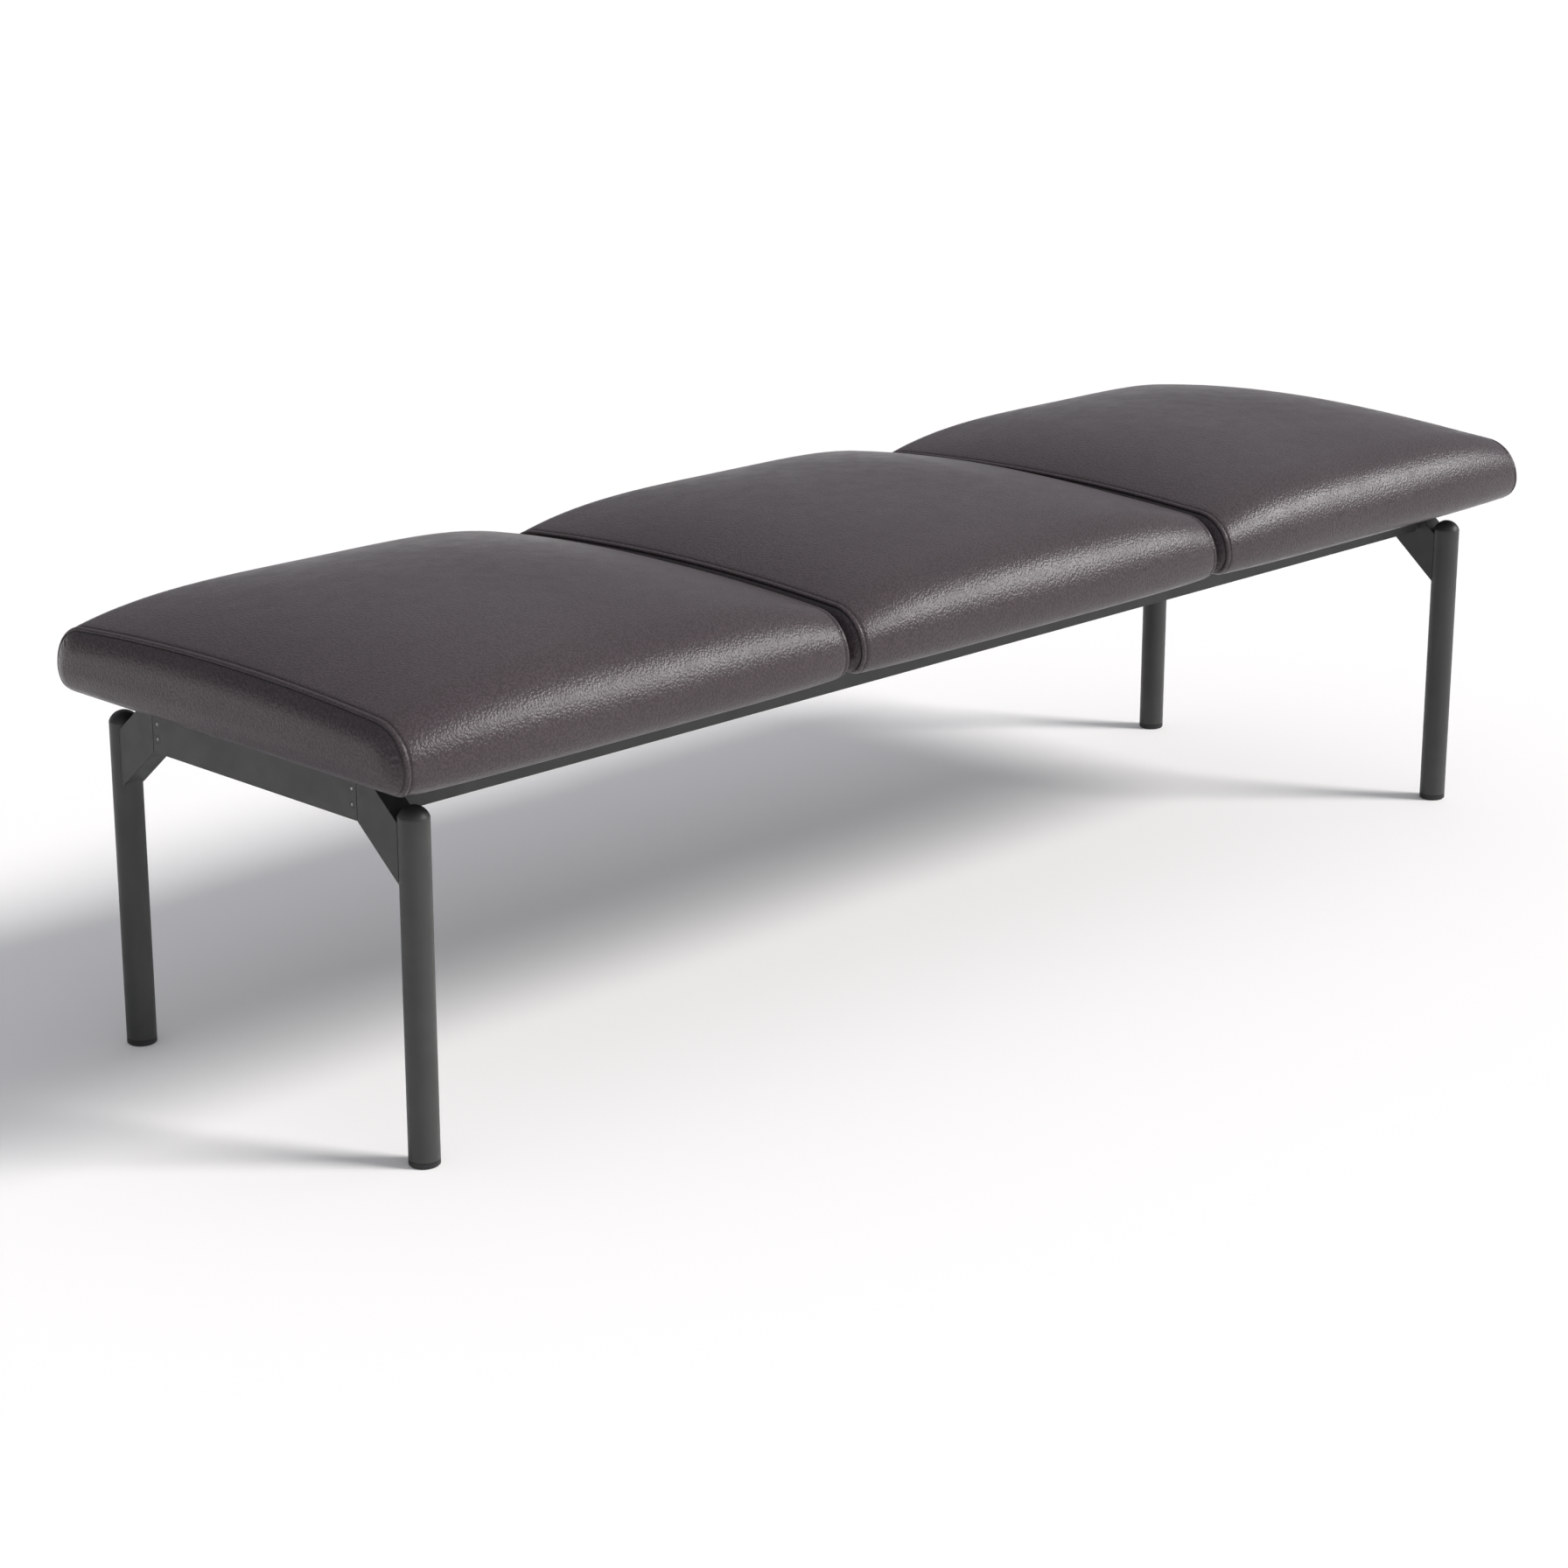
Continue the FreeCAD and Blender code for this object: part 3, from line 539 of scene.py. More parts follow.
def fall_off(distance: float, width: float) -> float:
    """Smooth fall from 1 on a line to 0 on both sides of it."""
    return math.exp(-((distance / width) ** 2))


def reach_of(line: np.ndarray) -> np.ndarray:
    """Distance of each point of a line from its first point, along the line."""
    steps = np.linalg.norm(np.diff(line, axis=0), axis=1)
    return np.concatenate([[0.0], np.cumsum(steps)])


def read_along(places: np.ndarray, reach: np.ndarray, rows: np.ndarray) -> np.ndarray:
    """Read rows of X, Y and Z, each with its reach along a line, at other places along it."""
    return np.column_stack([np.interp(places, reach, rows[:, axis]) for axis in range(3)])


@dataclass(frozen=True)
class Ring:
    """One ring of points round a seat, across its length.

    Attributes:
        along: Distance from the end's edge, to the seat's middle if positive and over the end if negative.
        core: Share of the end panel's inner field, from 1 at its edge to 0 at its middle.
    """

    along: float
    core: float = 1.0


@dataclass
class SeatForm:
    """Sizes of one padded seat in metres, and the surface that they make."""

    foot: float
    length: float
    depth: float = 0.530
    swell: float = 0.006
    end_swell: float = 0.0085
    end_round: float = 0.026
    end_roll: float = 0.010
    seam_height: float = 0.079
    crown_height: float = 0.111
    lower_radius: float = 0.025
    shoulder_radius: float = 0.045
    shoulder_swell: float = 0.024
    crown_power: int = 4
    core_inset: float = 0.0245
    band: float = 0.0040
    band_reach: float = 0.0062
    band_power: float = 2.4
    seam_depth: float = 0.0011
    seam_width: float = 0.0008
    edge_drop: float = 0.0004
    edge_reach: float = 0.006
    edge_crease: float = 0.0006
    edge_width: float = 0.0010
    edge_rise: float = 0.0020
    pucker_height: float = 0.00022
    pucker_reach: float = 0.012
    roll_fade: float = 0.05
    base_steps: int = 24
    lower_steps: int = 20
    shoulder_steps: int = 36
    top_steps: int = 68

    PUCKER_WIDTHS: ClassVar[tuple[float, ...]] = (0.0079, 0.0104, 0.0133)
    PUCKER_PHASES: ClassVar[tuple[float, float]] = (0.0, 6.28)
    PUCKER_SHARES: ClassVar[tuple[float, float]] = (0.6, 1.0)
    TURNING_GAIN: ClassVar[float] = 1.25

    def section(self, along: float) -> tuple[np.ndarray, np.ndarray]:
        """Outline across the seat with its outward normals, from the middle of the base round the rear.

        Args:
            along: Distance from the seam to the section.

        Returns:
            Points and normals, one row of Y and Z each.
        """
        share = 1.0 - min(max(along, 0.0), self.length / 2) / (self.length / 2)
        swell = 1.0 - share ** self.crown_power
        half = self.depth / 2 + self.swell * swell
        radius = self.shoulder_radius + self.shoulder_swell * swell
        crown = self.seam_height + (self.crown_height - self.seam_height) * swell
        flat = half - radius
        lean = 2.0 * math.atan((crown - self.lower_radius - radius) / flat)
        top_radius = (flat + radius * math.sin(lean)) / math.sin(lean)

        base = np.linspace(0.0, half - self.lower_radius, self.base_steps // 2, endpoint=False)
        low = np.linspace(-math.pi / 2, 0.0, self.lower_steps, endpoint=False)
        high = np.linspace(0.0, math.pi / 2 - lean, self.shoulder_steps, endpoint=False)
        over = np.linspace(math.pi / 2 - lean, math.pi / 2, self.top_steps // 2 + 1)
        angles = np.concatenate([np.full(len(base), -math.pi / 2), low, high, over])
        normals = np.stack([np.cos(angles), np.sin(angles)], axis=1)
        middles = np.concatenate([
            np.stack([base, np.full(len(base), self.lower_radius)], axis=1),
            np.tile([half - self.lower_radius, self.lower_radius], (len(low), 1)),
            np.tile([flat, self.lower_radius], (len(high), 1)),
            np.tile([0.0, crown - top_radius], (len(over), 1)),
        ])
        radii = np.concatenate([np.full(len(base) + len(low), self.lower_radius), np.full(len(high), radius),
                                np.full(len(over), top_radius)])
        points = middles + normals * radii[:, None]
        mirror = np.array([-1.0, 1.0])
        back = slice(-2, 0, -1)
        return (np.concatenate([points, points[back] * mirror]),
                np.concatenate([normals, normals[back] * mirror]))

    def upward(self) -> np.ndarray:
        """Share of each ring point that is free to move: 0 on the base, 1 from the widest line up."""
        _, normals = self.section(0.0)
        return ease(2.0 + 2.0 * np.minimum(normals[:, 1], 0.0))

    def bulge(self, inset: float) -> float:
        """How far the end stands out beyond the panel's seam at an inset, less than 0 on the band."""
        past = min(max(inset - self.band, 0.0) / self.end_round, 1.0)
        return self.end_swell * (1.0 - (1.0 - past) ** 2) - self.band_back(inset)

    def band_back(self, inset: float) -> float:
        """How far the rounded band falls back from the panel's seam at an inset, 0 from the seam on."""
        short = max(1.0 - inset / self.band, 0.0)
        return self.band_reach * (1.0 - (1.0 - short ** self.band_power) ** (1.0 / self.band_power))

    def from_edge(self, along: float) -> float:
        """Distance from the sewn edge along the leather, more than 0 to both sides of it."""
        return along if along >= 0.0 else self.band_reach - self.band_back(-along) - along

    def seam_relief(self, inset: float) -> float:
        """Seam of the end panel at an inset, pressed in along the seat's length."""
        return -self.seam_depth * fall_off(inset - self.band, self.seam_width)

    def edge_relief(self, along: float) -> float:
        """Soft fall of leather to the sewn edge, and the band's rise from it.

        Args:
            along: Distance from the end's edge to the seat's middle, less than 0 on the band.

        Returns:
            The relief across the surface.
        """
        if along < 0.0:
            return -(self.edge_crease + self.edge_drop) * fall_off(self.from_edge(along), self.edge_rise)
        fall = self.edge_drop * max(1.0 - along / self.edge_reach, 0.0) ** 2
        return -fall - self.edge_crease * fall_off(along, self.edge_width)

    def surface(self, rings: list[Ring], relief: bool, waves: np.random.Generator) -> np.ndarray:
        """Points of half a seat, from the middle of its end panel to its middle.

        Args:
            rings: The rings in that order.
            relief: Whether to press in the seam and its stitching.
            waves: Source of the small puckers at the seam.

        Returns:
            Points as an array of rings, points round the ring, and X, Y and Z. X is 0 at the seat's middle
            and negative towards the end panel, and Z is 0 at the base.
        """
        free = self.upward()
        pucker = self.puckers(waves)
        drawn_in = 1.0 - 2.0 * self.band_reach / self.length
        rows = []
        for ring in rings:
            points, normals = self.section(ring.along)
            if relief:
                points = points + normals * (self.edge_relief(ring.along) * free)[:, None]
            if ring.along < 0.0:
                inset = -ring.along
                field_depth = (1.0 - ring.core) * (self.seam_height / 2 - self.core_inset)
                out = np.full(len(points), self.bulge(inset + field_depth))
                if relief:
                    past = max(inset - self.band, 0.0)
                    fold = math.sin(math.pi * min(past / self.pucker_reach, 1.0))
                    out += free * (self.seam_relief(inset) + pucker * fold)
                points = points - normals * inset
                x = -self.length / 2 - out
            else:
                x = np.full(len(points), (ring.along - self.length / 2) * drawn_in)
            if ring.core < 1.0:
                middle = np.array([0.0, self.seam_height / 2])
                points = middle + (points - middle) * ring.core
            low = np.clip(1.0 - points[:, 1] / self.end_roll, 0.0, 1.0)
            rolled = self.end_roll * (1.0 - np.sqrt(1.0 - low * low))
            fade = math.exp(-max(ring.along, 0.0) / self.roll_fade)
            rows.append(np.column_stack([x + rolled * fade, points]))
        return np.array(rows)

    def puckers(self, waves: np.random.Generator) -> np.ndarray:
        """Small uneven folds along the seam where it turns over the shoulder and under the seat.

        Args:
            waves: Source of the folds' sizes.

        Returns:
            A height for each point of a ring.
        """
        points, normals = self.section(0.0)
        reach = reach_of(points)
        fold = np.zeros(len(points))
        for width in self.PUCKER_WIDTHS:
            phase = waves.uniform(*self.PUCKER_PHASES)
            fold += np.sin(2.0 * math.pi * reach / width + phase) * waves.uniform(*self.PUCKER_SHARES)
        turning = ease(self.TURNING_GAIN * np.abs(normals[:, 0]))
        return self.pucker_height * fold * turning


@dataclass
class Shell:
    """A closed seat mesh that knows the ring, and the step round it, of each of its points."""

    piece: bpy.types.Object
    ring: np.ndarray
    step: np.ndarray

    @classmethod
    def drawn(cls, name: str, rings: np.ndarray, origin: np.ndarray) -> "Shell":
        """Draw a ball out into a seat, ring by ring.

        Args:
            name: The object's name.
            rings: Points of every ring in the seat's own place, left end to right end.
            origin: Where the seat's own place lies.

        Returns:
            The shell.
        """
        count, around = rings.shape[:2]
        bpy.ops.object.select_all(action="DESELECT")
        bpy.ops.mesh.primitive_uv_sphere_add(segments=around, ring_count=count - 1, radius=1.0)
        piece = bpy.context.object
        piece.name = name
        piece.data.name = name
        ball = points_of(piece)
        ring = np.rint(np.arccos(np.clip(ball[:, 2], -1.0, 1.0)) / math.pi * (count - 1)).astype(int)
        step = np.rint(np.arctan2(ball[:, 1], ball[:, 0]) / (2.0 * math.pi) * around).astype(int) % around
        move_points(piece, rings[ring, step] + origin)
        bpy.ops.object.mode_set(mode="EDIT")
        bpy.ops.mesh.select_all(action="SELECT")
        bpy.ops.mesh.normals_make_consistent(inside=False)
        bpy.ops.object.mode_set(mode="OBJECT")
        bpy.ops.object.shade_smooth()
        return cls(piece, ring, step)

    def gather(self, values: np.ndarray, like: np.ndarray) -> np.ndarray:
        """Put a value of each point back in its ring and step.

        Args:
            values: One row for each point.
            like: Rings of the same shape.

        Returns:
            The values as rings.
        """
        rings = np.zeros_like(like)
        rings[self.ring, self.step] = values
        for tip in (0, -1):
            rings[tip] = rings[tip].sum(axis=0)
        return rings


@dataclass
class Padding:
    """Foam that fills a seat: cloth pressure swells the leather between its sewn edges."""

    pressure: float = 4.0
    frames: int = 20
    cap: float = 0.0033
    stiffness: float = 25.0
    fold_stiffness: float = 6.0
    mass: float = 0.5
    quality: int = 5
    passes: int = 8

    def swell(self, shell: Shell, rings: np.ndarray, held: np.ndarray) -> np.ndarray:
        """Fill one shell.

        Args:
            shell: The leather before it is filled.
            rings: The shell's points as rings.
            held: How firmly each point is held, as rings.

        Returns:
            How far each point moved, as rings.
        """
        piece = shell.piece
        before = points_of(piece)
        group = piece.vertex_groups.new(name="held")
        for index, weight in enumerate(held[shell.ring, shell.step]):
            if weight > 0.0:
                group.add([index], float(weight), "REPLACE")
        cloth = piece.modifiers.new("leather", "CLOTH")
        settings = cloth.settings
        settings.quality = self.quality
        settings.mass = self.mass
        settings.tension_stiffness = self.stiffness
        settings.compression_stiffness = self.stiffness
        settings.shear_stiffness = self.stiffness / 2
        settings.bending_stiffness = self.fold_stiffness
        settings.use_pressure = True
        settings.uniform_pressure_force = self.pressure
        settings.effector_weights.gravity = 0.0
        settings.vertex_group_mass = group.name
        scene = bpy.context.scene
        for step in range(1, self.frames + 1):
            scene.frame_set(step)
        pick_only(piece)
        bpy.ops.object.modifier_apply(modifier=cloth.name)
        scene.frame_set(1)
        moved = points_of(piece) - before
        lengths = np.linalg.norm(moved, axis=1, keepdims=True)
        moved *= np.minimum(1.0, self.cap / np.maximum(lengths, 1e-9))
        LOG.info("padding moved the leather %.1f mm at most", 1000.0 * lengths.max())
        return self.evened(shell.gather(moved, rings), 1.0 - held[..., None])

    def evened(self, moves: np.ndarray, free: np.ndarray) -> np.ndarray:
        """Take the small wrinkles out of the filling's moves.

        Args:
            moves: A move for each point, as rings.
            free: Share of each point that may move, as rings.

        Returns:
            The evened moves.
        """
        for _ in range(self.passes):
            moves = (np.roll(moves, 1, axis=1) + 2.0 * moves + np.roll(moves, -1, axis=1)) / 4.0
            moves[1:-1] = (moves[:-2] + 2.0 * moves[1:-1] + moves[2:]) / 4.0
            moves *= free
        return moves


@dataclass
class Seat:
    """One padded seat: its leather, its top stitching and its dust cover."""

    place: SeatPlace
    form: SeatForm
    centre: float
    waves: np.random.Generator
    opening: tuple[float, float] = (0.5048, 0.4288)
    opening_rise: float = 0.0012
    opening_ease: float = 0.004
    base_band: float = 0.0005
    rest_gap: float = 0.00015
    # Strength and width of the painted shade in the seam groove and at the stitched edge.
    seam_dark: float = 0.5
    seam_dark_width: float = 0.9
    edge_dark: float = 0.5
    edge_dark_width: float = 0.8
    stitch: float = 0.0020
    stitch_pitch: float = 0.0030
    stitch_start: int = 3
    thread_radius: float = 0.00032
    thread_sides: int = 6
    cloth_cells: tuple[int, int] = (56, 48)
    cloth_thickness: float = 0.0003
    cloth_rise: float = 0.00072
    hem_drop: float = 0.00022
    hem_width: float = 0.0125
    slack_height: float = 0.0001
    slack_inset: float = 0.02
    slack_waves: tuple[float, float] = (61.0, 47.0)
    cloth_smooth: float = 40.0

    CORE: ClassVar[tuple[float, ...]] = (0.1, 0.2, 0.3, 0.4, 0.5, 0.6, 0.69, 0.78, 0.86, 0.93)
    RIM: ClassVar[tuple[float, ...]] = (
        0.0245, 0.0223, 0.0203, 0.0184, 0.0166, 0.0149, 0.0133, 0.0118, 0.0104, 0.0091,
        0.0079, 0.0068, 0.0058, 0.0050, 0.0045, 0.0042, 0.0040, 0.0038, 0.0035, 0.0031,
        0.0026, 0.00205, 0.00148, 0.0010, 0.00061, 0.00034, 0.00016, 0.00006, 0.00001)
    STATIONS: ClassVar[tuple[float, ...]] = (
        0.0003, 0.0006, 0.0010, 0.0016, 0.0024, 0.0034, 0.0047, 0.0064, 0.0086, 0.0115,
        0.0152, 0.0198, 0.0255, 0.0325, 0.041, 0.051, 0.063, 0.076, 0.090, 0.106,
        0.124, 0.144, 0.165, 0.187, 0.209, 0.232, 0.255)
    COARSE_RIM: ClassVar[tuple[float, ...]] = (0.0245, 0.0185, 0.0130, 0.0085, 0.0040, 0.0010)
    COARSE_STATIONS: ClassVar[tuple[float, ...]] = tuple(np.arange(0.012, 0.270, 0.012).tolist())
    TIP_STEP: ClassVar[float] = 0.1
    FIRM_BELOW: ClassVar[float] = 0.05

    @property
    def origin(self) -> np.ndarray:
        """Where the seat's own place lies on the bench."""
        return np.array([self.centre, 0.0, self.form.foot])

    def half_rings(self, rim: tuple[float, ...], stations: tuple[float, ...]) -> list[Ring]:
        """Rings from the field of the end panel to the middle of the seat.

        Args:
            rim: Distances inside the panel's edge, from its field to its edge.
            stations: Distances from the seam towards the seat's middle.

        Returns:
            The rings, the seat's middle last.
        """
        core = [Ring(-self.form.core_inset, share) for share in self.CORE]
        edge = [Ring(-inset) for inset in rim]
        return [*core, *edge, Ring(0.0), *[Ring(s) for s in stations], Ring(self.form.length / 2)]

    @staticmethod
    def both_halves(half: np.ndarray, other: np.ndarray) -> np.ndarray:
        """Join two halves of a seat, with a point in the middle of each end panel.

        Args:
            half: Rings of the left half.
            other: Rings of the right half, built as a left half.

        Returns:
            All rings from the left end to the right end.
        """
        mirrored = other[::-1].copy()
        mirrored[..., 0] *= -1.0
        rings = np.concatenate([half, mirrored[1:]])
        tips = [np.broadcast_to(rings[k].mean(axis=0), (1, *rings[k].shape)) for k in (0, -1)]
        return np.concatenate([tips[0], rings, tips[1]])

    def reaches(self, rings: list[Ring]) -> np.ndarray:
        """Steady distances along the seat for every ring of both halves and the two end points.

        Args:
            rings: The rings of one half.

        Returns:
            Distances that grow from the left end to the right end.
        """
        half = np.array([r.along - (1.0 - r.core) for r in rings])
        left = np.concatenate([[half[0] - self.TIP_STEP], half])
        return np.concatenate([left, self.form.length - left[-2::-1]])

    def swelling(self, padding: Padding) -> np.ndarray:
        """Fill the seat and measure how far its leather moves.

        Args:
            padding: The foam.

        Returns:
            A move for each point of the coarse rings.
        """
        rings = self.half_rings(self.COARSE_RIM, self.COARSE_STATIONS)
        half = self.form.surface(rings, False, self.waves)
        points = self.both_halves(half, half)
        sewn = [[1.0 if r.along <= 0.0 else 0.0] for r in rings]
        firm = np.array(sewn) + (self.form.upward() < self.FIRM_BELOW)[None, :]
        held = np.minimum(firm, 1.0)[..., None]
        shell = Shell.drawn("seat_filling", points, self.origin)
        moves = padding.swell(shell, points, np.abs(self.both_halves(held, held)[..., 0]))
        bpy.data.objects.remove(shell.piece)
        return moves

    def leather(self, moves: np.ndarray | None, finishes: Finishes) -> np.ndarray:
        """Build the seat's leather with its seams.

        Args:
            moves: How far the padding moves the coarse rings, or None for a seat that is drawn full.
            finishes: The bench's materials.

        Returns:
            The leather's points as rings, on the bench.
        """
        rings = self.half_rings(self.RIM, self.STATIONS)
        halves = [self.form.surface(rings, True, self.waves) for _ in SeatEnd]
        points = self.both_halves(*halves)
        if moves is not None:
            coarse = self.reaches(self.half_rings(self.COARSE_RIM, self.COARSE_STATIONS))
            fine = self.reaches(rings)
            for step in range(points.shape[1]):
                points[:, step] += read_along(fine, coarse, moves[:, step])
        self.turn_under(points)
        name = f"seat_leather_{self.place.value}"
        shell = Shell.drawn(name, points, self.origin)
        # How much painted shade each point gets in the seam groove and stitched crease, none on the base.
        shade = np.array([self.seam_shade(r) for r in rings])[:, None] * self.form.upward()[None, :]
        shades = self.both_halves(shade[..., None], shade[..., None])[..., 0]
        attribute = shell.piece.data.attributes.new(PebbledLeather.seam_attribute, "FLOAT", "POINT")
        attribute.data.foreach_set("value", np.abs(shades[shell.ring, shell.step]).astype(np.float32))
        self.dress(shell.piece, finishes.by_slot["seat_leather"])
        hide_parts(*[f"seat_{kind}_{self.place.value}" for kind in ("cover", "end_panels", "foam")])
        return points + self.origin

    def turn_under(self, points: np.ndarray) -> None:
        """Lay the base a hair over the rails, and raise it inside the dust cover's opening.

        Args:
            points: The seat's rings, changed in place.
        """
        inside = [ease((side / 2 - np.abs(points[..., axis])) / self.opening_ease)
                  for axis, side in enumerate(self.opening)]
        base = points[..., 2] < self.base_band
        lowest = self.rest_gap + self.opening_rise * inside[0] * inside[1] * base
        points[..., 2] = np.maximum(points[..., 2], lowest)

    def seam_shade(self, ring: Ring) -> float:
        """How much painted shade a ring gets: in the seam groove of the end panel and in the crease at the
        stitched edge.

        Args:
            ring: The ring.

        Returns:
            A share from 0 to 1.
        """
        form = self.form
        in_seam = fall_off(ring.along + form.band, self.seam_dark_width * form.seam_width)
        at_edge = fall_off(form.from_edge(ring.along), self.edge_dark_width * form.edge_width)
        return self.seam_dark * in_seam + self.edge_dark * at_edge

    def stitch_shape(self) -> tuple[np.ndarray, list[tuple[int, ...]]]:
        """Model one stitch: a short thread with rounded ends.

        Returns:
            Its points, lying along X, and its faces.
        """
        straight, tip = 0.66 * self.stitch, 0.17 * self.stitch
        lift, arch = 0.9, 5.0
        bpy.ops.object.select_all(action="DESELECT")
        bpy.ops.mesh.primitive_cylinder_add(vertices=self.thread_sides, radius=self.thread_radius,
                                            depth=straight)
        piece = bpy.context.object
        bpy.ops.object.mode_set(mode="EDIT")
        bpy.ops.mesh.select_mode(type="FACE")
        bpy.ops.mesh.select_all(action="DESELECT")
        bpy.ops.object.mode_set(mode="OBJECT")
        for face in piece.data.polygons:
            face.select = abs(face.normal.z) > 0.9
        bpy.ops.object.mode_set(mode="EDIT")
        bpy.ops.mesh.inset(thickness=self.thread_radius / 2, depth=tip, use_individual=True)
        bpy.ops.object.mode_set(mode="OBJECT")
        points = points_of(piece)[:, [2, 0, 1]]
        points[:, 2] += self.thread_radius * (lift - arch * (points[:, 0] / self.stitch) ** 2)
        faces = [tuple(face.vertices) for face in piece.data.polygons]
        bpy.data.objects.remove(piece)
        return points, faces

    def stitching(self, points: np.ndarray, finishes: Finishes) -> None:
        """Sew the top stitching along both ends of the seat.

        Args:
            points: The leather's points as rings, on the bench.
            finishes: The bench's materials.
        """
        shape, faces = self.stitch_shape()
        first = len(self.CORE) + len(self.RIM) + 1
        start = self.form.base_steps // 2 + self.stitch_start
        sewn = slice(start, points.shape[1] - start + 1)
        rows, joined = [], []
        for end in SeatEnd:
            ring = first if end is SeatEnd.LEFT else len(points) - 1 - first
            line = points[ring, sewn]
            beside = points[ring - end.value, sewn] - points[ring + end.value, sewn]
            reach = reach_of(line)
            places = np.arange(self.stitch_pitch, reach[-1] - self.stitch_pitch, self.stitch_pitch)
            spots = read_along(places, reach, line)
            ahead = read_along(places + self.stitch / 4, reach, line) - spots
            ahead /= np.linalg.norm(ahead, axis=1, keepdims=True)
            side = read_along(places, reach, beside)
            up = np.cross(ahead, side) * end.value
            up /= np.linalg.norm(up, axis=1, keepdims=True)
            up *= np.sign((up * (spots - self.middle())).sum(axis=1, keepdims=True))
            across = np.cross(up, ahead)
            for spot, x, y, z in zip(spots, ahead, across, up):
                count = len(rows) * len(shape)
                rows.append(spot + shape @ np.array([x, y, z]))
                joined.extend(tuple(index + count for index in face) for face in faces)
        mesh = bpy.data.meshes.new(f"seat_stitching_{self.place.value}")
        mesh.from_pydata(np.concatenate(rows).tolist(), [], joined)
        piece = bpy.data.objects.new(mesh.name, mesh)
        bpy.context.collection.objects.link(piece)
        pick_only(piece)
        bpy.ops.object.shade_smooth()
        self.dress(piece, finishes.thread)

    def middle(self) -> np.ndarray:
        """A point inside the seat, half way up its ends."""
        return self.origin + np.array([0.0, 0.0, self.form.seam_height / 2])

    def dust_cover(self, finishes: Finishes) -> None:
        """Stretch the dust cover under the seat, with a doubled hem.

        Args:
            finishes: The bench's materials.
        """
        name = f"seat_dust_cloth_{self.place.value}"
        bpy.ops.object.select_all(action="DESELECT")
        across, deep = self.cloth_cells
        bpy.ops.mesh.primitive_grid_add(x_subdivisions=across, y_subdivisions=deep, size=1.0)
        piece = bpy.context.object
        piece.name = name
        piece.data.name = name
        points = points_of(piece)
        edge = np.minimum(*[(0.5 - np.abs(points[:, k])) * self.opening[k] for k in range(2)])
        points[:, 0] *= self.opening[0]
        points[:, 1] *= self.opening[1]
        waves = self.slack_waves
        slack = np.sin(points[:, 0] * waves[0]) * np.sin(points[:, 1] * waves[1] + self.centre)
        hem = self.hem_drop * (edge < self.hem_width)
        points[:, 2] = self.cloth_rise - hem + self.slack_height * slack * (edge > self.slack_inset)
        move_points(piece, points + self.origin)
        solid = piece.modifiers.new("cloth", "SOLIDIFY")
        solid.thickness = self.cloth_thickness
        solid.offset = 0.0
        pick_only(piece)
        bpy.ops.object.modifier_apply(modifier=solid.name)
        bpy.ops.object.shade_smooth_by_angle(angle=math.radians(self.cloth_smooth))
        self.dress(piece, finishes.by_slot["dust_cloth"])
        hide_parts(f"seat_dust_cover_{self.place.value}")

    def dress(self, piece: bpy.types.Object, material: bpy.types.Material) -> None:
        """Give a piece its material and slot, and let it ride on the bench.

        Args:
            piece: The new piece.
            material: Its material.
        """
        piece.data.materials.clear()
        piece.data.materials.append(material)
        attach(piece, FRAME_BODY)
        LOG.info("made %s with %d faces", piece.name, len(piece.data.polygons))


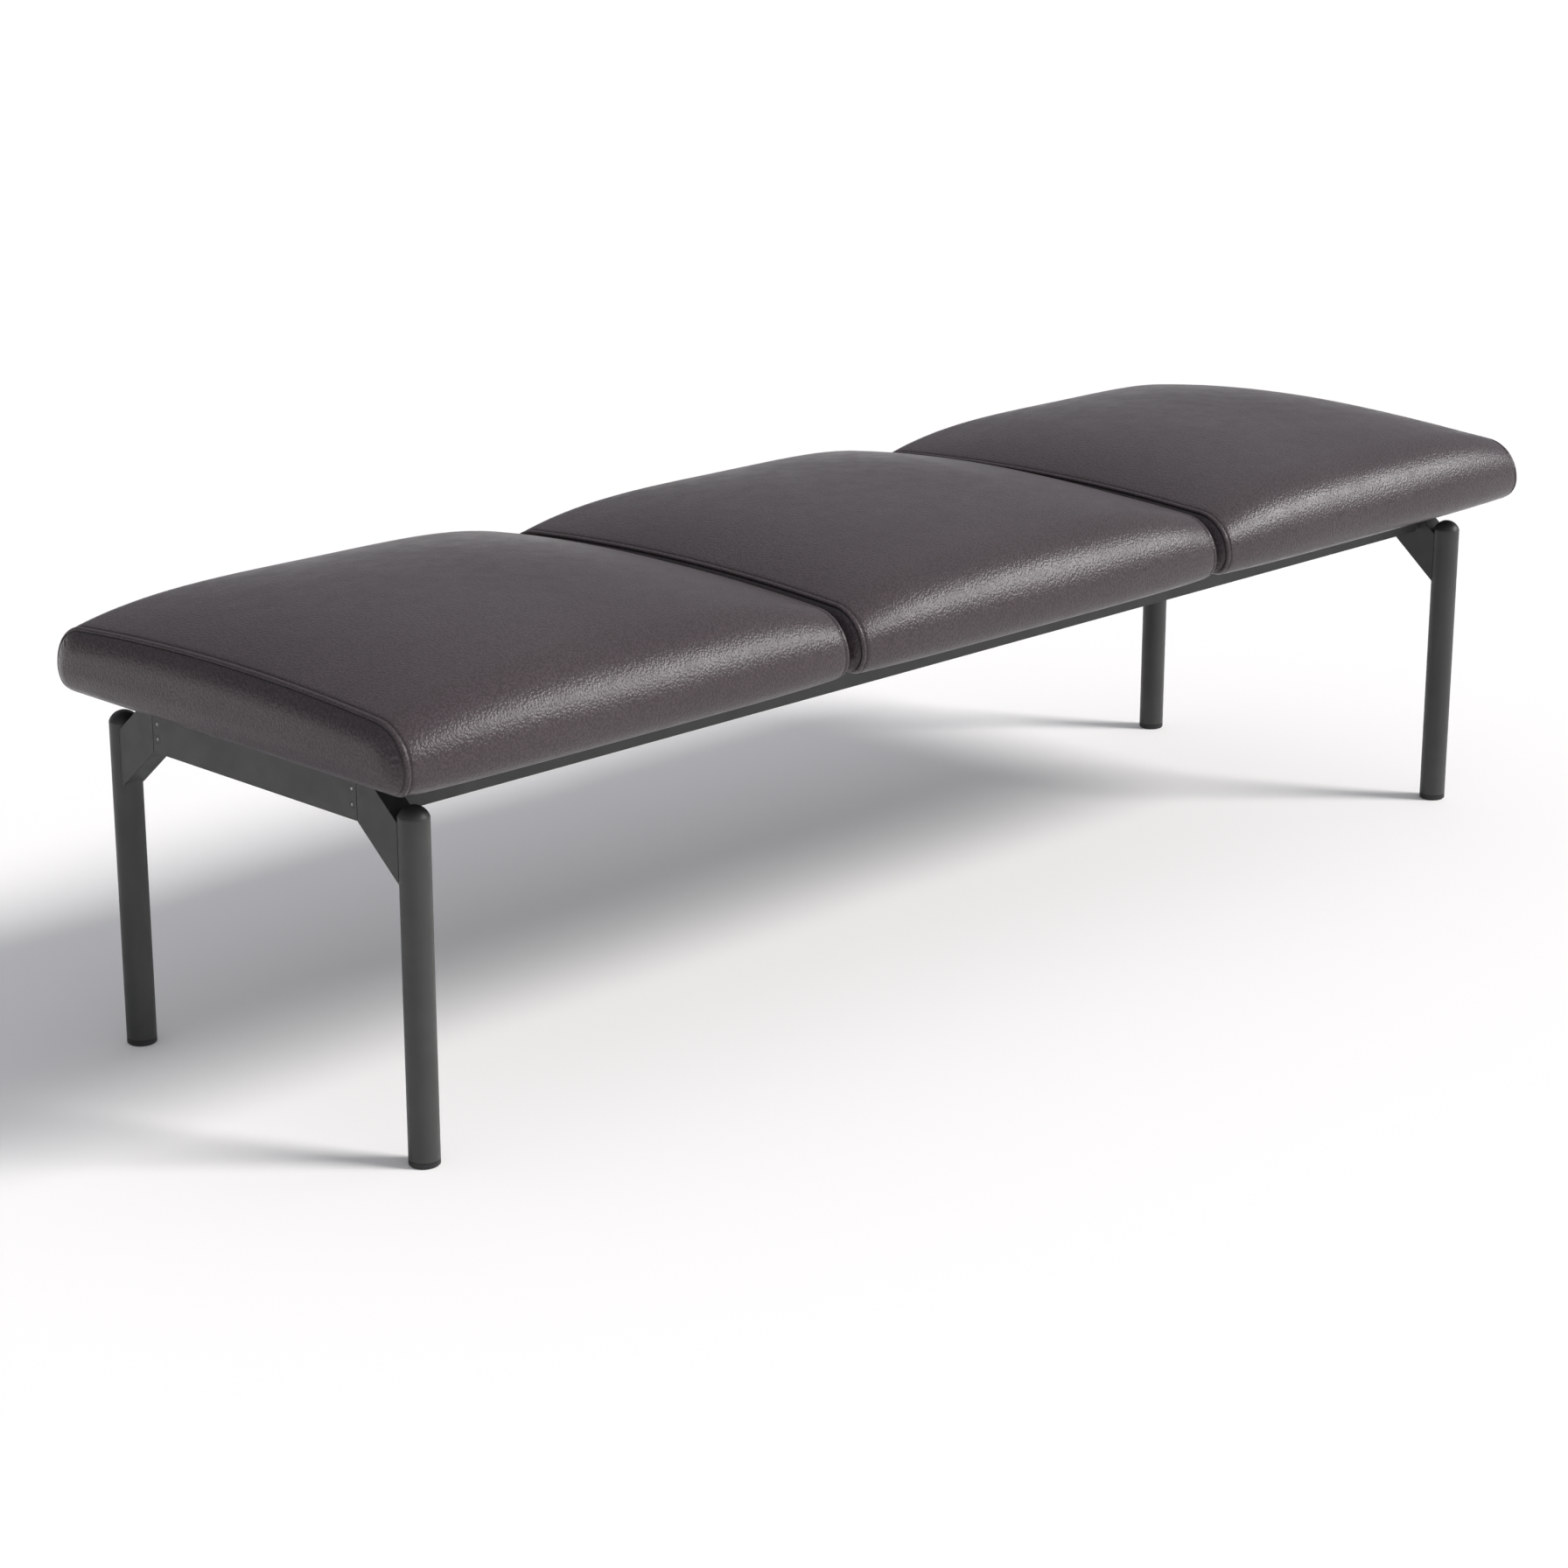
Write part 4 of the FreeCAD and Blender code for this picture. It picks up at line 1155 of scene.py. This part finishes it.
@dataclass
class Studio:
    """Pale floor, a soft key light, a softbox for the shine, a fill and the camera of the photograph."""

    key_from: tuple[float, float, float] = (0.456, -0.621, 0.638)
    key_strength: float = 3.1
    key_angle: float = 18.0
    key_colour: Colour = (1.0, 0.97, 0.94)
    box_from: tuple[float, float, float] = (0.655, -0.579, 0.485)
    box_away: float = 10.0
    box_size: tuple[float, float] = (7.0, 2.0)
    box_strength: float = 620.0
    fill_far: float = 0.13
    fill_near: float = 0.61
    fill_colour: Colour = (0.945, 0.95, 1.0)
    floor_colour: Colour = (0.96, 0.96, 0.96)
    floor_size: float = 120.0
    floor_white: float = 0.07
    floor_dim: float = 0.995
    floor_clouds: float = 0.8
    camera_place: tuple[float, float, float] = (-2.7268, -2.5805, 1.3024)
    camera_turn: float = -45.284
    camera_drop: float = 17.115
    camera_lens: float = 82.197
    camera_sensor: float = 36.0

    def build(self) -> None:
        """Set up floor, light, camera and colour view."""
        self.floor()
        self.key()
        self.softbox()
        self.fill()
        self.camera()
        bpy.context.scene.view_settings.view_transform = "Standard"

    def floor(self) -> None:
        """Lay the pale floor, with a little plain white where the camera or a shine sees it."""
        bpy.ops.object.select_all(action="DESELECT")
        bpy.ops.mesh.primitive_plane_add(size=self.floor_size)
        floor = bpy.context.object
        floor.name = "studio_floor"
        sheet = NodeSheet("studio_floor_paint")
        clouds = sheet.noise(self.floor_clouds, 2.0)
        pale = tuple(self.floor_dim * c for c in self.floor_colour)
        paint = sheet.finish(Base_Color=sheet.blend(clouds, self.floor_colour, pale), Roughness=1.0,
                             Specular_IOR_Level=0.0)
        rays = sheet.add("ShaderNodeLightPath").outputs
        seen = sheet.maths("MAXIMUM", rays["Is Camera Ray"], rays["Is Glossy Ray"])
        seen = sheet.maths("MAXIMUM", seen, rays["Is Transmission Ray"])
        white = sheet.add("ShaderNodeEmission", {"Strength": 1.0}).outputs[0]
        share = sheet.maths("MULTIPLY", seen, self.floor_white)
        mixed = sheet.add("ShaderNodeMixShader", {0: share, 1: sheet.shader.outputs[0], 2: white}).outputs[0]
        sheet.feed(sheet.tree.nodes["Material Output"], "Surface", mixed)
        floor.data.materials.append(paint)

    def key(self) -> None:
        """Hang the key light, far off and wide, so that its shadow is soft."""
        lamp = bpy.data.lights.new("studio_key", "SUN")
        lamp.energy = self.key_strength
        lamp.angle = math.radians(self.key_angle)
        lamp.color = self.key_colour
        self.hang(lamp, self.key_from).visible_glossy = False

    def softbox(self) -> None:
        """Hang the wide softbox whose reflection is the shine along the edges."""
        lamp = bpy.data.lights.new("studio_softbox", "AREA")
        lamp.shape = "RECTANGLE"
        lamp.size, lamp.size_y = self.box_size
        lamp.energy = self.box_strength
        self.hang(lamp, self.box_from, self.box_away).visible_diffuse = False

    @staticmethod
    def hang(lamp: bpy.types.Light, way: tuple[float, float, float], away: float = 0.0) -> bpy.types.Object:
        """Hang a lamp so that it shines at the bench.

        Args:
            lamp: The lamp.
            way: Direction from the bench to the lamp.
            away: Its distance, which doesn't matter for a sun.

        Returns:
            The lamp's object.
        """
        holder = bpy.data.objects.new(lamp.name, lamp)
        holder.location = away * Vector(way)
        holder.rotation_mode = "QUATERNION"
        holder.rotation_quaternion = Vector(way).to_track_quat("Z", "Y")
        bpy.context.scene.collection.objects.link(holder)
        return holder

    def fill(self) -> None:
        """Fill the room with pale light that is brighter on the key's side."""
        world = bpy.data.worlds.new("studio_room")
        world.use_nodes = True
        bpy.context.scene.world = world
        nodes, links = world.node_tree.nodes, world.node_tree.links
        light = nodes["Background"]
        light.inputs["Color"].default_value = (*self.fill_colour, 1.0)
        way = nodes.new("ShaderNodeTexCoord")
        facing = nodes.new("ShaderNodeVectorMath")
        facing.operation = "DOT_PRODUCT"
        facing.inputs[1].default_value = Vector(self.key_from).normalized()
        level = nodes.new("ShaderNodeMapRange")
        level.inputs["From Min"].default_value = -1.0
        level.inputs["To Min"].default_value = self.fill_far
        level.inputs["To Max"].default_value = self.fill_near
        links.new(way.outputs["Generated"], facing.inputs[0])
        links.new(facing.outputs["Value"], level.inputs["Value"])
        links.new(level.outputs["Result"], light.inputs["Strength"])

    def camera(self) -> None:
        """Put the camera where the photograph was taken from."""
        lens = bpy.data.cameras.new("studio_camera")
        lens.lens = self.camera_lens
        lens.sensor_width = self.camera_sensor
        holder = bpy.data.objects.new("studio_camera", lens)
        holder.location = self.camera_place
        holder.rotation_euler = (math.radians(90.0 - self.camera_drop), 0.0, math.radians(self.camera_turn))
        bpy.context.scene.collection.objects.link(holder)
        bpy.context.scene.camera = holder


@dataclass
class Bench:
    """The whole bench: its dressed frame and its three seats."""

    finishes: Finishes = field(default_factory=Finishes)
    padding: Padding = field(default_factory=Padding)
    seed: int = 7

    def build(self) -> None:
        """Dress the frame, fill one seat, and make all three alike."""
        self.finishes.dress_frame()
        moves = None
        for number, place in enumerate(SeatPlace):
            low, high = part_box(f"seat_cover_{place.value}")
            form = SeatForm(foot=low.z, length=high.x - low.x)
            seat = Seat(place, form, (low.x + high.x) / 2, np.random.default_rng(self.seed + number))
            if moves is None:
                moves = seat.swelling(self.padding)
            points = seat.leather(moves, self.finishes)
            seat.stitching(points, self.finishes)
            seat.dust_cover(self.finishes)


def main() -> None:
    """Build the studio and the bench."""
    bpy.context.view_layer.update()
    Studio().build()
    Bench().build()


if __name__ == "__main__":
    logging.basicConfig(level=logging.INFO, format="%(message)s")
    main()
